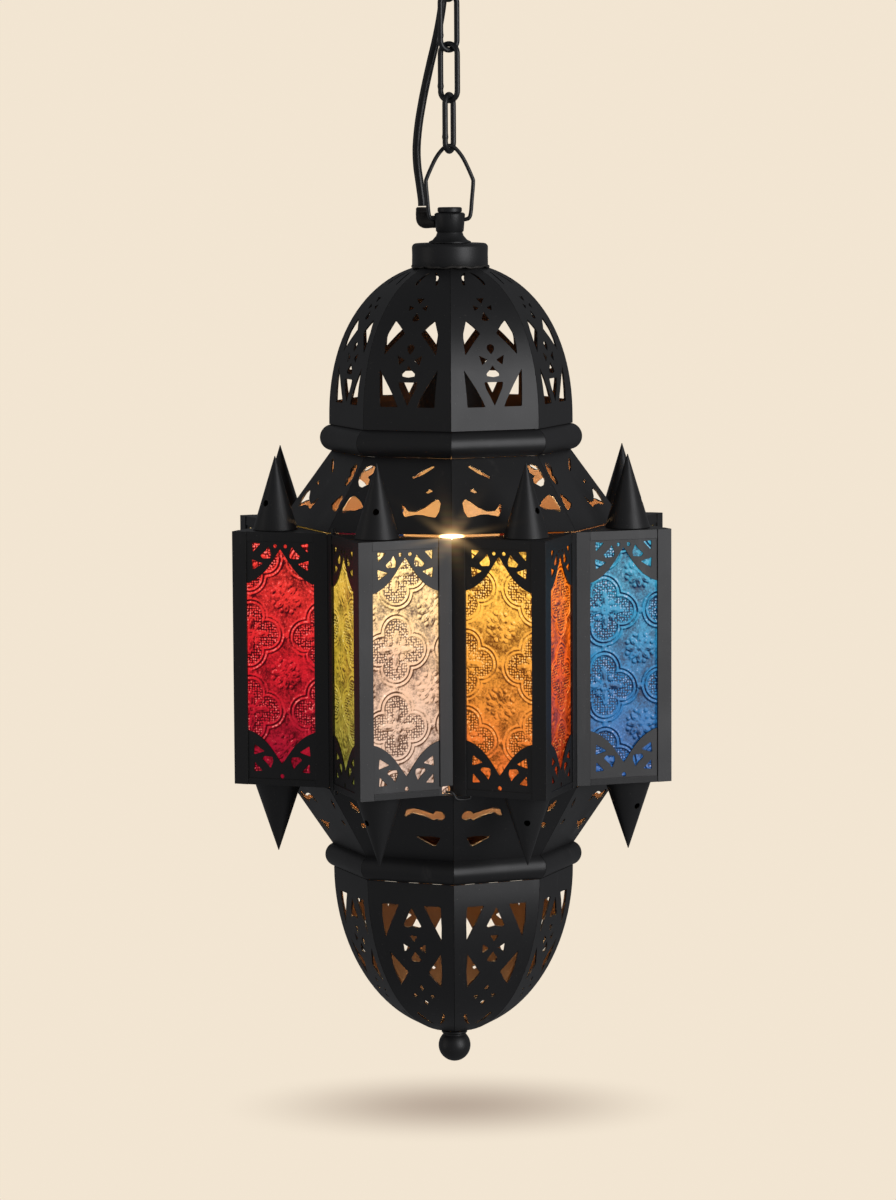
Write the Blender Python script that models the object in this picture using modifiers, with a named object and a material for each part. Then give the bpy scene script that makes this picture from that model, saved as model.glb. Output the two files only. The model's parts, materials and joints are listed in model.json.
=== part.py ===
"""Pierced-metal star lantern on a chain: an electric pendant with coloured pressed-glass panes.

The origin is where the ceiling canopy meets the ceiling, +Z is up, -Y is the front and everything
hangs at negative z. The lantern body has eight sides. Its octagon has a corner at the front, and a
star of eight points, each a folded case with two glass panes, stands out from the octagon's sides.
The front left point is the door: it turns on two pins, and a wire latch holds its free edge.
"""

from math import atan2, cos, hypot, pi, radians, sin, sqrt, tan

import bmesh
import bpy
from mathutils import Matrix, Vector

MM = 0.001
SIDES = 8
GAP = 0.3 * MM  # between pieces that touch
HALF_SIDE = pi / SIDES  # half the angle that one side of the octagon spans

# Sheet metal
SHEET = 1.0 * MM

# Ceiling canopy
CANOPY_RADIUS = 50 * MM
CANOPY_HEIGHT = 25 * MM
CANOPY_WALL = 1.5 * MM
CROSSBAR_WIDTH = 14 * MM
CROSSBAR_THICKNESS = 2 * MM

# Chain and hook
CHAIN_WIRE = 3.5 * MM  # diameter
LINK_LENGTH = 37.3 * MM
LINK_SLACK = 4.5 * MM  # inside width over the next link's wire
LINK_TURNS = (radians(32), radians(-30), radians(65))  # each link's plane about the vertical
HOOK_TURN = radians(-58)
HOOK_EYE_RADIUS = 6.5 * MM
HOOK_DROP = 22.45 * MM  # canopy's underside to the middle of the wire at the foot of the eye

# Bail and hub
BAIL_WIRE = 2.4 * MM
BAIL_HALF_WIDTH = 14.1 * MM
BAIL_DROP = 43.95 * MM  # wire's middle at the top to the pivot in the hub
BAIL_SHOULDER = 21.5 * MM  # pivot to where the arms turn in
BAIL_SEAT = 0.15 * MM  # extra height over the link, for the slope of the bail's top
HUB_DISC_RADIUS = 7.3 * MM
HUB_RADIUS = 9.2 * MM
HUB_FOOT_RADIUS = 12.6 * MM
HUB_HEIGHT = 21.1 * MM
HUB_DISC_THICKNESS = 2.9 * MM
HUB_BARREL_FOOT = 14.2 * MM  # hub's top to where it begins to flare out
HUB_TAPER = 0.9 * MM
HUB_STEP = 0.7 * MM
HUB_PIVOT_DEPTH = 7.3 * MM  # hub's top to the bail's pivot
NIPPLE_RADIUS = 5 * MM
NIPPLE_REACH = 7.5 * MM  # how far the lampholder's nipple stands up inside the hub
BORE_CLEARANCE = 0.35 * MM

# Cord and gland
CORD_DIAMETER = 5 * MM
GLAND_RADIUS = 4.6 * MM
GLAND_BARREL_RADIUS = 3.8 * MM
GLAND_DROP = 1.5 * MM  # below the bail's pivot
GLAND_TURN = radians(140)
GLAND_REACH = 21.5 * MM
GLAND_NECK_HEIGHT = 9 * MM
GLAND_NECK_RADIUS = 3.75 * MM
CORD_HOLE_CLEARANCE = 0.6 * MM

# Collar
COLLAR_RADIUS = 22.8 * MM
COLLAR_HEIGHT = 13.8 * MM
COLLAR_WALL = 1.5 * MM
COLLAR_ROUND = 2.5 * MM

# Upper dome
UPPER_RADIUS = 73.2 * MM  # corner radius of the octagon
UPPER_RISE = 93.4 * MM  # of the whole curve, before the opening at the top
UPPER_POWER = 2.2  # of the superellipse
UPPER_SKIRT = 3.3 * MM  # straight part at the foot
UPPER_OPENING = 19.5 * MM
UPPER_ROWS = 9

# Rings: a bead of sheet rolled to a C, open to the inside
UPPER_BEAD = 8.1 * MM
UPPER_BEAD_CENTRE = 70.8 * MM
LOWER_BEAD = 7.65 * MM
LOWER_BEAD_CENTRE = 70.2 * MM
BEAD_OPENING = radians(50)  # half of the C's opening

# Flares
FLARE_NECK = 72 * MM
UPPER_FLARE_HEIGHT = 42.7 * MM
LOWER_FLARE_NECK = 73.2 * MM
LOWER_FLARE_HEIGHT = 43.9 * MM

# Star
VALLEY_RADIUS = 103 * MM
RIDGE_RADIUS = 140 * MM
STAR_HEIGHT = 150.6 * MM
CASE_GAP = 0.4 * MM  # between neighbouring cases, at the valleys
STRIP = 8.5 * MM  # plain metal along each side of a pane
TOP_APEX = 10 * MM  # panel's top to the point of the pane's opening
TOP_SHOULDER = 30.5 * MM
FOOT_APEX = 14 * MM
FOOT_SHOULDER = 32.5 * MM

# Panes
PANE_THICKNESS = 3 * MM
PANE_RIDGE_LEAST = 5.6 * MM  # ridge to the pane's edge, along the panel
PANE_VALLEY_INSET = 2.6 * MM

# Spires
SPIRE_CENTRE = 113 * MM
SPIRE_RADIUS = 13.5 * MM
TOP_SPIRE_HEIGHT = 44 * MM
FOOT_SPIRE_RADIUS = 14.2 * MM
FOOT_SPIRE_HEIGHT = 42 * MM
SPIRE_TIP = 0.7 * MM
SPIRE_STEPS = 12

# Door and latch
HINGE_INSET = 5 * MM  # valley to the hinge pin, towards the door
PIN_RADIUS = 1.2 * MM
PIN_HEIGHT = 3.6 * MM  # above the door's plate
PIN_CLEARANCE = 0.3 * MM
LUG_RADIUS = 3.3 * MM
LUG_THICKNESS = 1.4 * MM
LATCH_WIRE = 1.4 * MM
LATCH_PIVOT = (9.9 * MM, -101.4 * MM)
LATCH_TIP = 4.6 * MM  # how far past the front valley the latch reaches
NOTCH_WIDTH = 7 * MM
NOTCH_HEIGHT = 4.5 * MM

# Lower dome and finial
LOWER_RADIUS = 72.6 * MM
LOWER_DROP = 101.4 * MM
LOWER_OPENING = 7 * MM
LOWER_ROWS = 9
FINIAL_DISC = 7.8 * MM
FINIAL_BALL = 9.75 * MM
FINIAL_DISC_THICKNESS = 1.6 * MM
FINIAL_NECK = 0.8 * MM
FINIAL_STUD = 2.5 * MM
FINIAL_NUT_HEIGHT = 4 * MM
FINIAL_NUT_CLEARANCE = 2.6 * MM  # over the bowl's foot, where its panels' inner corners meet
FINIAL_STUD_END = 3 * MM

# Lampholder and bulb
HOLDER_FLANGE = 21 * MM
HOLDER_FLANGE_THICKNESS = 2 * MM
HOLDER_RADIUS = 19 * MM
HOLDER_DROP = 53 * MM  # flange to the top of the socket
HOLDER_LENGTH = 48 * MM  # of the socket
HOLDER_WALL = 2.5 * MM
HOLDER_SHOULDER = (5 * MM, 10 * MM)  # in and down, at the top of the socket
BULB_SEAT = 24 * MM  # how deep the bulb's cap sits in the socket
BULB_RADIUS = 30 * MM
BULB_NECK = 13 * MM
BULB_WALL = 1 * MM
BULB_LENGTH = 104 * MM
BULB_CAP = 30 * MM
BULB_SHOULDER = (5 * MM, 14 * MM)  # out and down, below the cap

# Sizes and heights that follow from the sizes above
LINK_WIDTH = 3 * CHAIN_WIRE + LINK_SLACK
RIDGE_LEAN = atan2(VALLEY_RADIUS * sin(HALF_SIDE), RIDGE_RADIUS - VALLEY_RADIUS * cos(HALF_SIDE))
PANE_RIDGE_INSET = max(  # where a sharp ridge would bring the two panes together, they stand further off
    PANE_RIDGE_LEAST, (SHEET + GAP + PANE_THICKNESS) / tan(RIDGE_LEAN) + GAP / sin(RIDGE_LEAN)
)
HOOK_FOOT = -CANOPY_HEIGHT - HOOK_DROP
LINK_SEAT = CHAIN_WIRE + GAP  # from one wire's middle to that of the wire that hangs on it
LINK_PITCH = LINK_LENGTH - CHAIN_WIRE - LINK_SEAT
LINK_TOPS = [HOOK_FOOT + LINK_SEAT - n * LINK_PITCH for n in range(len(LINK_TURNS))]
CHAIN_FOOT = LINK_TOPS[-1] - LINK_LENGTH + CHAIN_WIRE
BAIL_TOP = CHAIN_FOOT + (CHAIN_WIRE + BAIL_WIRE) / 2 + GAP + BAIL_SEAT
BAIL_PIVOT = BAIL_TOP - BAIL_DROP
HUB_TOP = BAIL_PIVOT + HUB_PIVOT_DEPTH
HUB_FOOT = HUB_TOP - HUB_HEIGHT
GLAND_HEIGHT = BAIL_PIVOT - GLAND_DROP
GLAND_TOP = GLAND_HEIGHT + GLAND_NECK_HEIGHT
COLLAR_TOP = HUB_FOOT - GAP
COLLAR_FOOT = COLLAR_TOP - COLLAR_HEIGHT


def superellipse_height(radius, across, up, power):
    """How high above its base the curve has this radius."""
    return up * (1 - (radius / across) ** power) ** (1 / power)


UPPER_BASE = COLLAR_FOOT - GAP - superellipse_height(
    COLLAR_RADIUS - COLLAR_WALL, UPPER_RADIUS, UPPER_RISE, UPPER_POWER
)
UPPER_FOOT = UPPER_BASE - UPPER_SKIRT


def bead_reach(bead, centre, radius):
    """How far above or below its middle a bead's surface lies at this radius."""
    return sqrt(bead**2 - (radius - centre) ** 2)


UPPER_RING_HEIGHT = UPPER_FOOT - GAP - bead_reach(UPPER_BEAD, UPPER_BEAD_CENTRE, UPPER_RADIUS)
UPPER_FLARE_TOP = UPPER_RING_HEIGHT - GAP - UPPER_BEAD
UPPER_FLARE_FOOT = UPPER_FLARE_TOP - UPPER_FLARE_HEIGHT
STAR_TOP = UPPER_FLARE_FOOT - GAP
STAR_FOOT = STAR_TOP - STAR_HEIGHT
LOWER_FLARE_TOP = STAR_FOOT - GAP
LOWER_FLARE_FOOT = LOWER_FLARE_TOP - LOWER_FLARE_HEIGHT
LOWER_RING_HEIGHT = (
    LOWER_FLARE_FOOT - GAP - bead_reach(LOWER_BEAD, LOWER_BEAD_CENTRE, LOWER_FLARE_NECK)
)
LOWER_BASE = LOWER_RING_HEIGHT - GAP - bead_reach(LOWER_BEAD, LOWER_BEAD_CENTRE, LOWER_RADIUS)
LOWER_FOOT = LOWER_BASE - superellipse_height(LOWER_OPENING, LOWER_RADIUS, LOWER_DROP, 2)
HOLDER_TOP = UPPER_BASE + superellipse_height(
    HOLDER_FLANGE / cos(HALF_SIDE) + SHEET, UPPER_RADIUS, UPPER_RISE, UPPER_POWER
) - 2 * SHEET
BULB_TOP = HOLDER_TOP - HOLDER_DROP - HOLDER_LENGTH + BULB_SEAT

# The cord's route, from the gland's neck up behind the chain and into the canopy
CORD_ROUTE = [
    (-16.5 * MM, 13.8 * MM, GLAND_TOP + GAP),
    (-16.7 * MM, 13.8 * MM, -166 * MM),
    (-18.0 * MM, 13.6 * MM, -156 * MM),
    (-19.3 * MM, 13.3 * MM, -146 * MM),
    (-19.6 * MM, 12.9 * MM, -135 * MM),
    (-18.4 * MM, 12.6 * MM, -122 * MM),
    (-16.4 * MM, 12.3 * MM, -110 * MM),
    (-14.2 * MM, 12.0 * MM, -99 * MM),
    (-11.0 * MM, 11.8 * MM, -85 * MM),
    (-7.8 * MM, 11.7 * MM, -72 * MM),
    (-5.3 * MM, 11.7 * MM, -60 * MM),
    (-3.6 * MM, 11.8 * MM, -49 * MM),
    (-2.6 * MM, 11.9 * MM, -38 * MM),
    (-2.2 * MM, 12.0 * MM, -28 * MM),
    (-2.2 * MM, 12.0 * MM, -17 * MM),
]

PANE_COLOURS = {
    "red": (0.62, 0.03, 0.03),
    "olive": (0.45, 0.42, 0.06),
    "clear": (0.85, 0.72, 0.55),
    "amber": (0.80, 0.38, 0.05),
    "orange": (0.72, 0.16, 0.03),
    "blue": (0.05, 0.25, 0.50),
}
# Left and right pane of each point, from the door round to the right
PANE_ORDER = (
    ("olive", "clear"),
    ("amber", "orange"),
    ("blue", "red"),
    ("olive", "clear"),
    ("amber", "orange"),
    ("blue", "red"),
    ("olive", "clear"),
    ("blue", "red"),
)


def new_collection(name):
    collection = bpy.data.collections.new(name)
    bpy.context.scene.collection.children.link(collection)
    return collection


def new_material(name, colour, roughness, metallic):
    material = bpy.data.materials.new(name)
    material.use_nodes = True
    shader = material.node_tree.nodes["Principled BSDF"]
    shader.inputs["Base Color"].default_value = (*colour, 1)
    shader.inputs["Roughness"].default_value = roughness
    shader.inputs["Metallic"].default_value = metallic
    return material


for old in list(bpy.data.objects):
    bpy.data.objects.remove(old)

LANTERN = new_collection("star_lantern")
CUTTERS = new_collection("cutters")
CUTTERS.hide_render = True

BLACK_METAL = new_material("black_metal", (0.03, 0.03, 0.03), 0.45, 0.6)
BLACK_PLASTIC = new_material("black_plastic", (0.02, 0.02, 0.02), 0.4, 0.0)
HOLDER_PLASTIC = new_material("holder_plastic", (0.05, 0.05, 0.05), 0.5, 0.0)
BULB_GLASS = new_material("bulb_glass", (0.95, 0.85, 0.65), 0.2, 0.0)
GLASS = {
    name: new_material(f"{name}_glass", colour, 0.15, 0.0)
    for name, colour in PANE_COLOURS.items()
}


def place(name, mesh, material):
    """Adds a mesh to the lantern as a named object."""
    mesh.materials.clear()
    mesh.materials.append(material)
    piece = bpy.data.objects.new(name, mesh)
    LANTERN.objects.link(piece)
    return piece


def smooth(piece, angle=radians(35)):
    piece.data.shade_smooth()
    piece.data.set_sharp_from_angle(angle=angle)


def solidify(piece, thickness, offset=-1.0):
    """Gives an open sheet its thickness, on its inner side."""
    shell = piece.modifiers.new("thickness", "SOLIDIFY")
    shell.thickness = thickness
    shell.offset = offset
    shell.use_even_offset = True
    return shell


def boolean(piece, other, operation):
    cut = piece.modifiers.new(operation.lower(), "BOOLEAN")
    cut.operation = operation
    cut.solver = "EXACT"
    cut.object = other
    return cut


def cutter(piece):
    """Turns a lantern object into a hidden tool for a Boolean modifier."""
    LANTERN.objects.unlink(piece)
    CUTTERS.objects.link(piece)
    piece.hide_render = True
    piece.display_type = "WIRE"
    return piece


def turned(name, profile, material, steps=32, closed=False):
    """A turned piece. The profile is (radius, height) pairs that run down its outer side."""
    mesh = bpy.data.meshes.new(name)
    edges = [(n, n + 1) for n in range(len(profile) - 1)]
    if closed:
        edges.append((len(profile) - 1, 0))
    mesh.from_pydata([(radius, 0, height) for radius, height in profile], edges, [])
    piece = place(name, mesh, material)
    spin = piece.modifiers.new("turn", "SCREW")
    spin.axis = "Z"
    spin.steps = steps
    spin.render_steps = steps
    spin.use_merge_vertices = True
    spin.merge_threshold = 0.00001
    spin.use_smooth_shade = True
    return piece


def cylinder(name, radius, top, foot, at=(0, 0), material=None, steps=16):
    bm = bmesh.new()
    bmesh.ops.create_cone(
        bm,
        cap_ends=True,
        segments=steps,
        radius1=radius,
        radius2=radius,
        depth=top - foot,
        matrix=Matrix.Translation((*at, (top + foot) / 2)),
    )
    mesh = bpy.data.meshes.new(name)
    bm.to_mesh(mesh)
    bm.free()
    return place(name, mesh, material or BLACK_METAL)


def arc(centre, radius, start, end, steps):
    """Points on an arc in a plane, both ends included."""
    angles = [start + (end - start) * n / steps for n in range(steps + 1)]
    return [(centre[0] + radius * cos(a), centre[1] + radius * sin(a)) for a in angles]


def smooth_curve(points, spacing):
    """Points about this far apart on a Catmull-Rom curve through the given points."""
    found = []
    ends = [2 * points[0] - points[1], *points, 2 * points[-1] - points[-2]]
    for before, start, end, after in zip(ends, ends[1:], ends[2:], ends[3:]):
        steps = max(1, round((end - start).length / spacing))
        for n in range(steps):
            t = n / steps
            found.append(
                0.5
                * (
                    2 * start
                    + (end - before) * t
                    + (2 * before - 5 * start + 4 * end - after) * t**2
                    + (3 * start - before - 3 * end + after) * t**3
                )
            )
    return [*found, points[-1]]


def wire(name, points, diameter, material, cyclic=False):
    """A round wire through these points."""
    curve = bpy.data.curves.new(name, "CURVE")
    curve.dimensions = "3D"
    curve.bevel_depth = diameter / 2
    curve.bevel_resolution = 2
    curve.render_resolution_u = 0
    curve.use_fill_caps = not cyclic
    spline = curve.splines.new("POLY")
    spline.points.add(len(points) - 1)
    for point, place_at in zip(spline.points, points):
        point.co = (*place_at, 1)
    spline.use_cyclic_u = cyclic
    curve.materials.append(material)
    piece = bpy.data.objects.new(name, curve)
    LANTERN.objects.link(piece)
    return piece


def upright(points, turn=0.0):
    """(across, height) pairs as points in a vertical plane turned about the axis."""
    return [Vector((x * cos(turn), x * sin(turn), z)) for x, z in points]


def polar(radius, azimuth, height):
    """A point at this azimuth, which is 0 at the front and grows towards the right."""
    return Vector((radius * sin(azimuth), -radius * cos(azimuth), height))


def filled(loops):
    """A flat mesh in x and y, with the first loop as its outline and the others as holes."""
    bm = bmesh.new()
    for loop in loops:
        corners = [bm.verts.new((x, y, 0)) for x, y in loop]
        for n, corner in enumerate(corners):
            bm.edges.new((corner, corners[n - 1]))
    bmesh.ops.triangle_fill(bm, use_beauty=True, use_dissolve=False, edges=bm.edges[:])
    for face in bm.faces:
        if face.normal.z < 0:
            face.normal_flip()
    return bm


def mirrored(loops):
    """These loops and their mirror images across x = 0."""
    return [*loops, *([(-x, y) for x, y in reversed(loop)] for loop in loops)]


def cut_rows(bm, heights):
    """Splits a flat mesh along level lines, so that it can be bent there."""
    for height in heights:
        bmesh.ops.bisect_plane(
            bm,
            geom=[*bm.verts, *bm.edges, *bm.faces],
            plane_co=(0, height, 0),
            plane_no=(0, 1, 0),
            dist=1e-6,
        )


def faceted_shell(name, profile, holes):
    """A shell of eight pierced panels that meet at sharp corners.

    The profile is (corner radius, height) pairs from the foot up. Each panel is laid flat, with x
    across it and y along its middle line from the foot, pierced, bent to the profile and repeated.
    """
    flat = [(radius * cos(HALF_SIDE), height) for radius, height in profile]
    rows = [0.0]
    for (a, low), (b, high) in zip(flat, flat[1:]):
        rows.append(rows[-1] + hypot(b - a, high - low))
    half_widths = [radius * sin(HALF_SIDE) for radius, _ in profile]
    right = list(zip(half_widths, rows))
    outline = [*right, *((-x, y) for x, y in reversed(right))]
    panel = filled([outline, *holes])
    cut_rows(panel, rows[1:-1])

    def bent(point):
        row = max(n for n in range(len(rows) - 1) if rows[n] <= point.y + 1e-7 or n == 0)
        share = (point.y - rows[row]) / (rows[row + 1] - rows[row])
        radius, height = (
            low + (high - low) * share for low, high in zip(flat[row], flat[row + 1])
        )
        return Vector((point.x, -radius, height))

    for corner in panel.verts:
        corner.co = bent(corner.co)
    sheet = bmesh.new()
    one = bpy.data.meshes.new(name + "_panel")
    panel.to_mesh(one)
    panel.free()
    for side in range(SIDES):
        one.transform(Matrix.Rotation((2 * side + 1) * HALF_SIDE, 4, "Z"))
        sheet.from_mesh(one)
        one.transform(Matrix.Rotation(-(2 * side + 1) * HALF_SIDE, 4, "Z"))
    bmesh.ops.remove_doubles(sheet, verts=sheet.verts, dist=0.00002)
    bmesh.ops.recalc_face_normals(sheet, faces=sheet.faces)
    middle = sum((face.calc_center_median() for face in sheet.faces), Vector()) / len(sheet.faces)
    outermost = max(sheet.faces, key=lambda face: (face.calc_center_median() - middle).length)
    centre = outermost.calc_center_median()
    if outermost.normal.dot(Vector((centre.x, centre.y, 0))) < 0:
        bmesh.ops.reverse_faces(sheet, faces=sheet.faces)
    mesh = bpy.data.meshes.new(name)
    sheet.to_mesh(mesh)
    sheet.free()
    bpy.data.meshes.remove(one)
    piece = place(name, mesh, BLACK_METAL)
    solidify(piece, SHEET)
    return piece


def make_canopy():
    wall = CANOPY_WALL
    outer = [
        (CANOPY_RADIUS, 0),
        (CANOPY_RADIUS, -0.35 * CANOPY_HEIGHT),
        (0.88 * CANOPY_RADIUS, -0.66 * CANOPY_HEIGHT),
        (0.62 * CANOPY_RADIUS, -0.9 * CANOPY_HEIGHT),
        (0.4 * CANOPY_RADIUS, -CANOPY_HEIGHT),
        (0, -CANOPY_HEIGHT),
    ]
    inner = [
        (0, -CANOPY_HEIGHT + wall),
        (0.4 * CANOPY_RADIUS - wall / 2, -CANOPY_HEIGHT + wall),
        (0.62 * CANOPY_RADIUS - wall, -0.9 * CANOPY_HEIGHT + wall),
        (0.88 * CANOPY_RADIUS - wall, -0.66 * CANOPY_HEIGHT + wall),
        (CANOPY_RADIUS - wall, -0.35 * CANOPY_HEIGHT),
        (CANOPY_RADIUS - wall, 0),
    ]
    canopy = turned("ceiling_canopy", [*outer, *inner], BLACK_METAL, closed=True)
    bm = bmesh.new()
    bmesh.ops.create_cube(bm, size=1)
    reach = 2 * CANOPY_RADIUS - wall
    bmesh.ops.scale(bm, vec=(CROSSBAR_WIDTH, reach, CROSSBAR_THICKNESS), verts=bm.verts)
    bmesh.ops.translate(bm, vec=(0, 0, -CROSSBAR_THICKNESS / 2), verts=bm.verts)
    mesh = bpy.data.meshes.new("crossbar")
    bm.to_mesh(mesh)
    bm.free()
    boolean(canopy, cutter(place("crossbar", mesh, BLACK_METAL)), "UNION")
    floor = (-CANOPY_HEIGHT + 3 * wall, -CANOPY_HEIGHT - wall)
    stem_hole = cylinder("stem_hole", CHAIN_WIRE / 2 + BORE_CLEARANCE, *floor)
    boolean(canopy, cutter(stem_hole), "DIFFERENCE")
    entry = CORD_DIAMETER / 2 + CORD_HOLE_CLEARANCE
    cord_hole = cylinder("cord_hole", entry, *floor, at=CORD_ROUTE[-1][:2])
    boolean(canopy, cutter(cord_hole), "DIFFERENCE")
    smooth(canopy)


def make_hook():
    """A stem through the canopy's floor, ending in an eye with a narrow mouth."""
    eye = (0, HOOK_FOOT + HOOK_EYE_RADIUS)
    stem = [
        Vector((0, -CROSSBAR_THICKNESS - GAP)),
        Vector((0, -CANOPY_HEIGHT)),
        Vector((0, eye[1] + 1.9 * HOOK_EYE_RADIUS)),
    ]
    turn = arc(eye, HOOK_EYE_RADIUS, radians(52), radians(-225), 20)
    shape = [*smooth_curve([*stem, Vector(turn[0])], 3 * MM)[:-1], *turn]
    wire("ceiling_hook", upright(shape, HOOK_TURN), CHAIN_WIRE, BLACK_METAL)


def make_chain():
    bend = (LINK_WIDTH - CHAIN_WIRE) / 2
    straight = LINK_LENGTH - LINK_WIDTH
    for n, (top, turn) in enumerate(zip(LINK_TOPS, LINK_TURNS)):
        oval = [
            *arc((0, top - bend), bend, 0, pi, 9),
            *arc((0, top - bend - straight), bend, pi, 2 * pi, 9),
        ]
        wire(f"chain_link_{n + 1}", upright(oval, turn), CHAIN_WIRE, BLACK_METAL, cyclic=True)


def make_bail():
    """Half of it, from the pin inside the hub up to the top, and its mirror image."""
    wide = BAIL_HALF_WIDTH
    half = [
        Vector((0.65 * HUB_RADIUS, BAIL_PIVOT)),
        Vector((HUB_RADIUS, BAIL_PIVOT)),
        Vector((wide - 2.6 * MM, BAIL_PIVOT + 0.9 * MM)),
        Vector((wide - 1.5 * MM, BAIL_PIVOT + 4 * MM)),
        Vector((wide - 0.8 * MM, BAIL_PIVOT + 12 * MM)),
        Vector((wide, BAIL_PIVOT + BAIL_SHOULDER)),
        Vector((wide - 0.6 * MM, BAIL_PIVOT + BAIL_SHOULDER + 3.5 * MM)),
        Vector((0.58 * wide, BAIL_TOP - 7.5 * MM)),
        Vector((0.23 * wide, BAIL_TOP - 1.3 * MM)),
        Vector((0, BAIL_TOP)),
    ]
    other = [Vector((-point.x, point.y)) for point in reversed(half[:-1])]
    shape = smooth_curve([*half, *other], 3.5 * MM)
    wire("hanging_bail", upright(shape), BAIL_WIRE, BLACK_METAL)


def make_hub():
    top, foot = HUB_TOP, HUB_FOOT
    recess = NIPPLE_RADIUS + BORE_CLEARANCE
    ceiling = foot + NIPPLE_REACH + GAP
    hub = turned(
        "hanger_hub",
        [
            (0, top),
            (HUB_DISC_RADIUS, top),
            (HUB_DISC_RADIUS, top - HUB_DISC_THICKNESS),
            (HUB_RADIUS, top - HUB_DISC_THICKNESS - HUB_STEP),
            (HUB_RADIUS - HUB_TAPER, top - HUB_BARREL_FOOT),
            (HUB_RADIUS - HUB_TAPER - HUB_STEP, top - HUB_BARREL_FOOT - HUB_STEP),
            (HUB_FOOT_RADIUS, foot),
            (recess, foot),
            (recess, ceiling),
            (0, ceiling),
        ],
        BLACK_METAL,
        steps=16,
    )
    bore = cylinder("bail_bore", BAIL_WIRE / 2 + BORE_CLEARANCE, HUB_FOOT_RADIUS, -HUB_FOOT_RADIUS)
    bore.data.transform(Matrix.Rotation(pi / 2, 4, "Y"))
    bore.data.transform(Matrix.Translation((0, 0, BAIL_PIVOT)))
    boolean(hub, cutter(bore), "DIFFERENCE")
    smooth(hub)


def make_gland():
    """An elbow that stands out from the hub's side and takes the cord from above."""
    start = HUB_RADIUS + GAP
    out = Vector((cos(GLAND_TURN), sin(GLAND_TURN), 0))
    bm = bmesh.new()
    along = out.to_track_quat("Z", "Y").to_matrix().to_4x4()
    middle = out * (start + GLAND_REACH) / 2 + Vector((0, 0, GLAND_HEIGHT))
    bmesh.ops.create_cone(
        bm,
        cap_ends=True,
        segments=16,
        radius1=GLAND_BARREL_RADIUS,
        radius2=GLAND_BARREL_RADIUS,
        depth=GLAND_REACH - start,
        matrix=Matrix.Translation(middle) @ along,
    )
    mesh = bpy.data.meshes.new("cord_gland")
    bm.to_mesh(mesh)
    bm.free()
    gland = place("cord_gland", mesh, BLACK_PLASTIC)
    ball = bmesh.new()
    elbow = out * GLAND_REACH + Vector((0, 0, GLAND_HEIGHT))
    bmesh.ops.create_uvsphere(
        ball, u_segments=16, v_segments=10, radius=GLAND_RADIUS, matrix=Matrix.Translation(elbow)
    )
    mesh = bpy.data.meshes.new("gland_elbow")
    ball.to_mesh(mesh)
    ball.free()
    boolean(gland, cutter(place("gland_elbow", mesh, BLACK_PLASTIC)), "UNION")
    neck = cylinder("gland_neck", GLAND_NECK_RADIUS, GLAND_TOP, GLAND_HEIGHT, elbow.xy)
    boolean(gland, cutter(neck), "UNION")
    smooth(gland)


def make_cord():
    route = smooth_curve([Vector(point) for point in CORD_ROUTE], 2.2 * CORD_DIAMETER)
    wire("supply_cord", route, CORD_DIAMETER, BLACK_PLASTIC)


def make_collar():
    """A cap whose top plate is clamped between the hub and the lampholder's nipple."""
    bend = COLLAR_ROUND
    corner = arc((COLLAR_RADIUS - bend, COLLAR_TOP - bend), bend, pi / 2, 0, 4)
    hole = NIPPLE_RADIUS + BORE_CLEARANCE
    wall = COLLAR_WALL
    inner = COLLAR_RADIUS - wall
    profile = [
        (hole, COLLAR_TOP),
        *corner,
        (COLLAR_RADIUS, COLLAR_FOOT),
        (inner, COLLAR_FOOT),
        (inner, COLLAR_TOP - bend),
        (inner - bend + wall, COLLAR_TOP - wall),
        (hole, COLLAR_TOP - wall),
    ]
    smooth(turned("top_collar", profile, BLACK_METAL, closed=True))


def make_lampholder():
    """A nipple up to the hub, a flange under the dome's top and a socket that is open below."""
    top = HOLDER_TOP - HOLDER_DROP
    foot = top - HOLDER_LENGTH
    inner = HOLDER_RADIUS - HOLDER_WALL
    profile = [
        (0, HUB_FOOT + NIPPLE_REACH),
        (NIPPLE_RADIUS, HUB_FOOT + NIPPLE_REACH),
        (NIPPLE_RADIUS, HOLDER_TOP),
        (HOLDER_FLANGE, HOLDER_TOP),
        (HOLDER_FLANGE, HOLDER_TOP - HOLDER_FLANGE_THICKNESS),
        (NIPPLE_RADIUS, HOLDER_TOP - HOLDER_FLANGE_THICKNESS),
        (NIPPLE_RADIUS, top),
        (HOLDER_RADIUS - HOLDER_SHOULDER[0], top),
        (HOLDER_RADIUS, top - HOLDER_SHOULDER[1]),
        (HOLDER_RADIUS, foot),
        (inner, foot),
        (inner, BULB_TOP + GAP),
        (0, BULB_TOP + GAP),
    ]
    smooth(turned("lampholder", profile, HOLDER_PLASTIC, steps=20))


def make_bulb():
    """A thin shell, open at its top inside the lampholder."""
    tip = BULB_TOP - BULB_LENGTH
    centre = (0, tip + BULB_RADIUS)

    def outline(wall):
        return [
            (BULB_NECK - wall, BULB_TOP),
            (BULB_NECK - wall, BULB_TOP - BULB_CAP),
            (BULB_NECK + BULB_SHOULDER[0] - wall, BULB_TOP - BULB_CAP - BULB_SHOULDER[1]),
            *arc(centre, BULB_RADIUS - wall, radians(36), radians(-90), 9),
        ]

    shell = [*outline(0)[:-1], (0, tip), (0, tip + BULB_WALL), *reversed(outline(BULB_WALL)[:-1])]
    smooth(turned("bulb", shell, BULB_GLASS, steps=18, closed=True))


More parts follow.
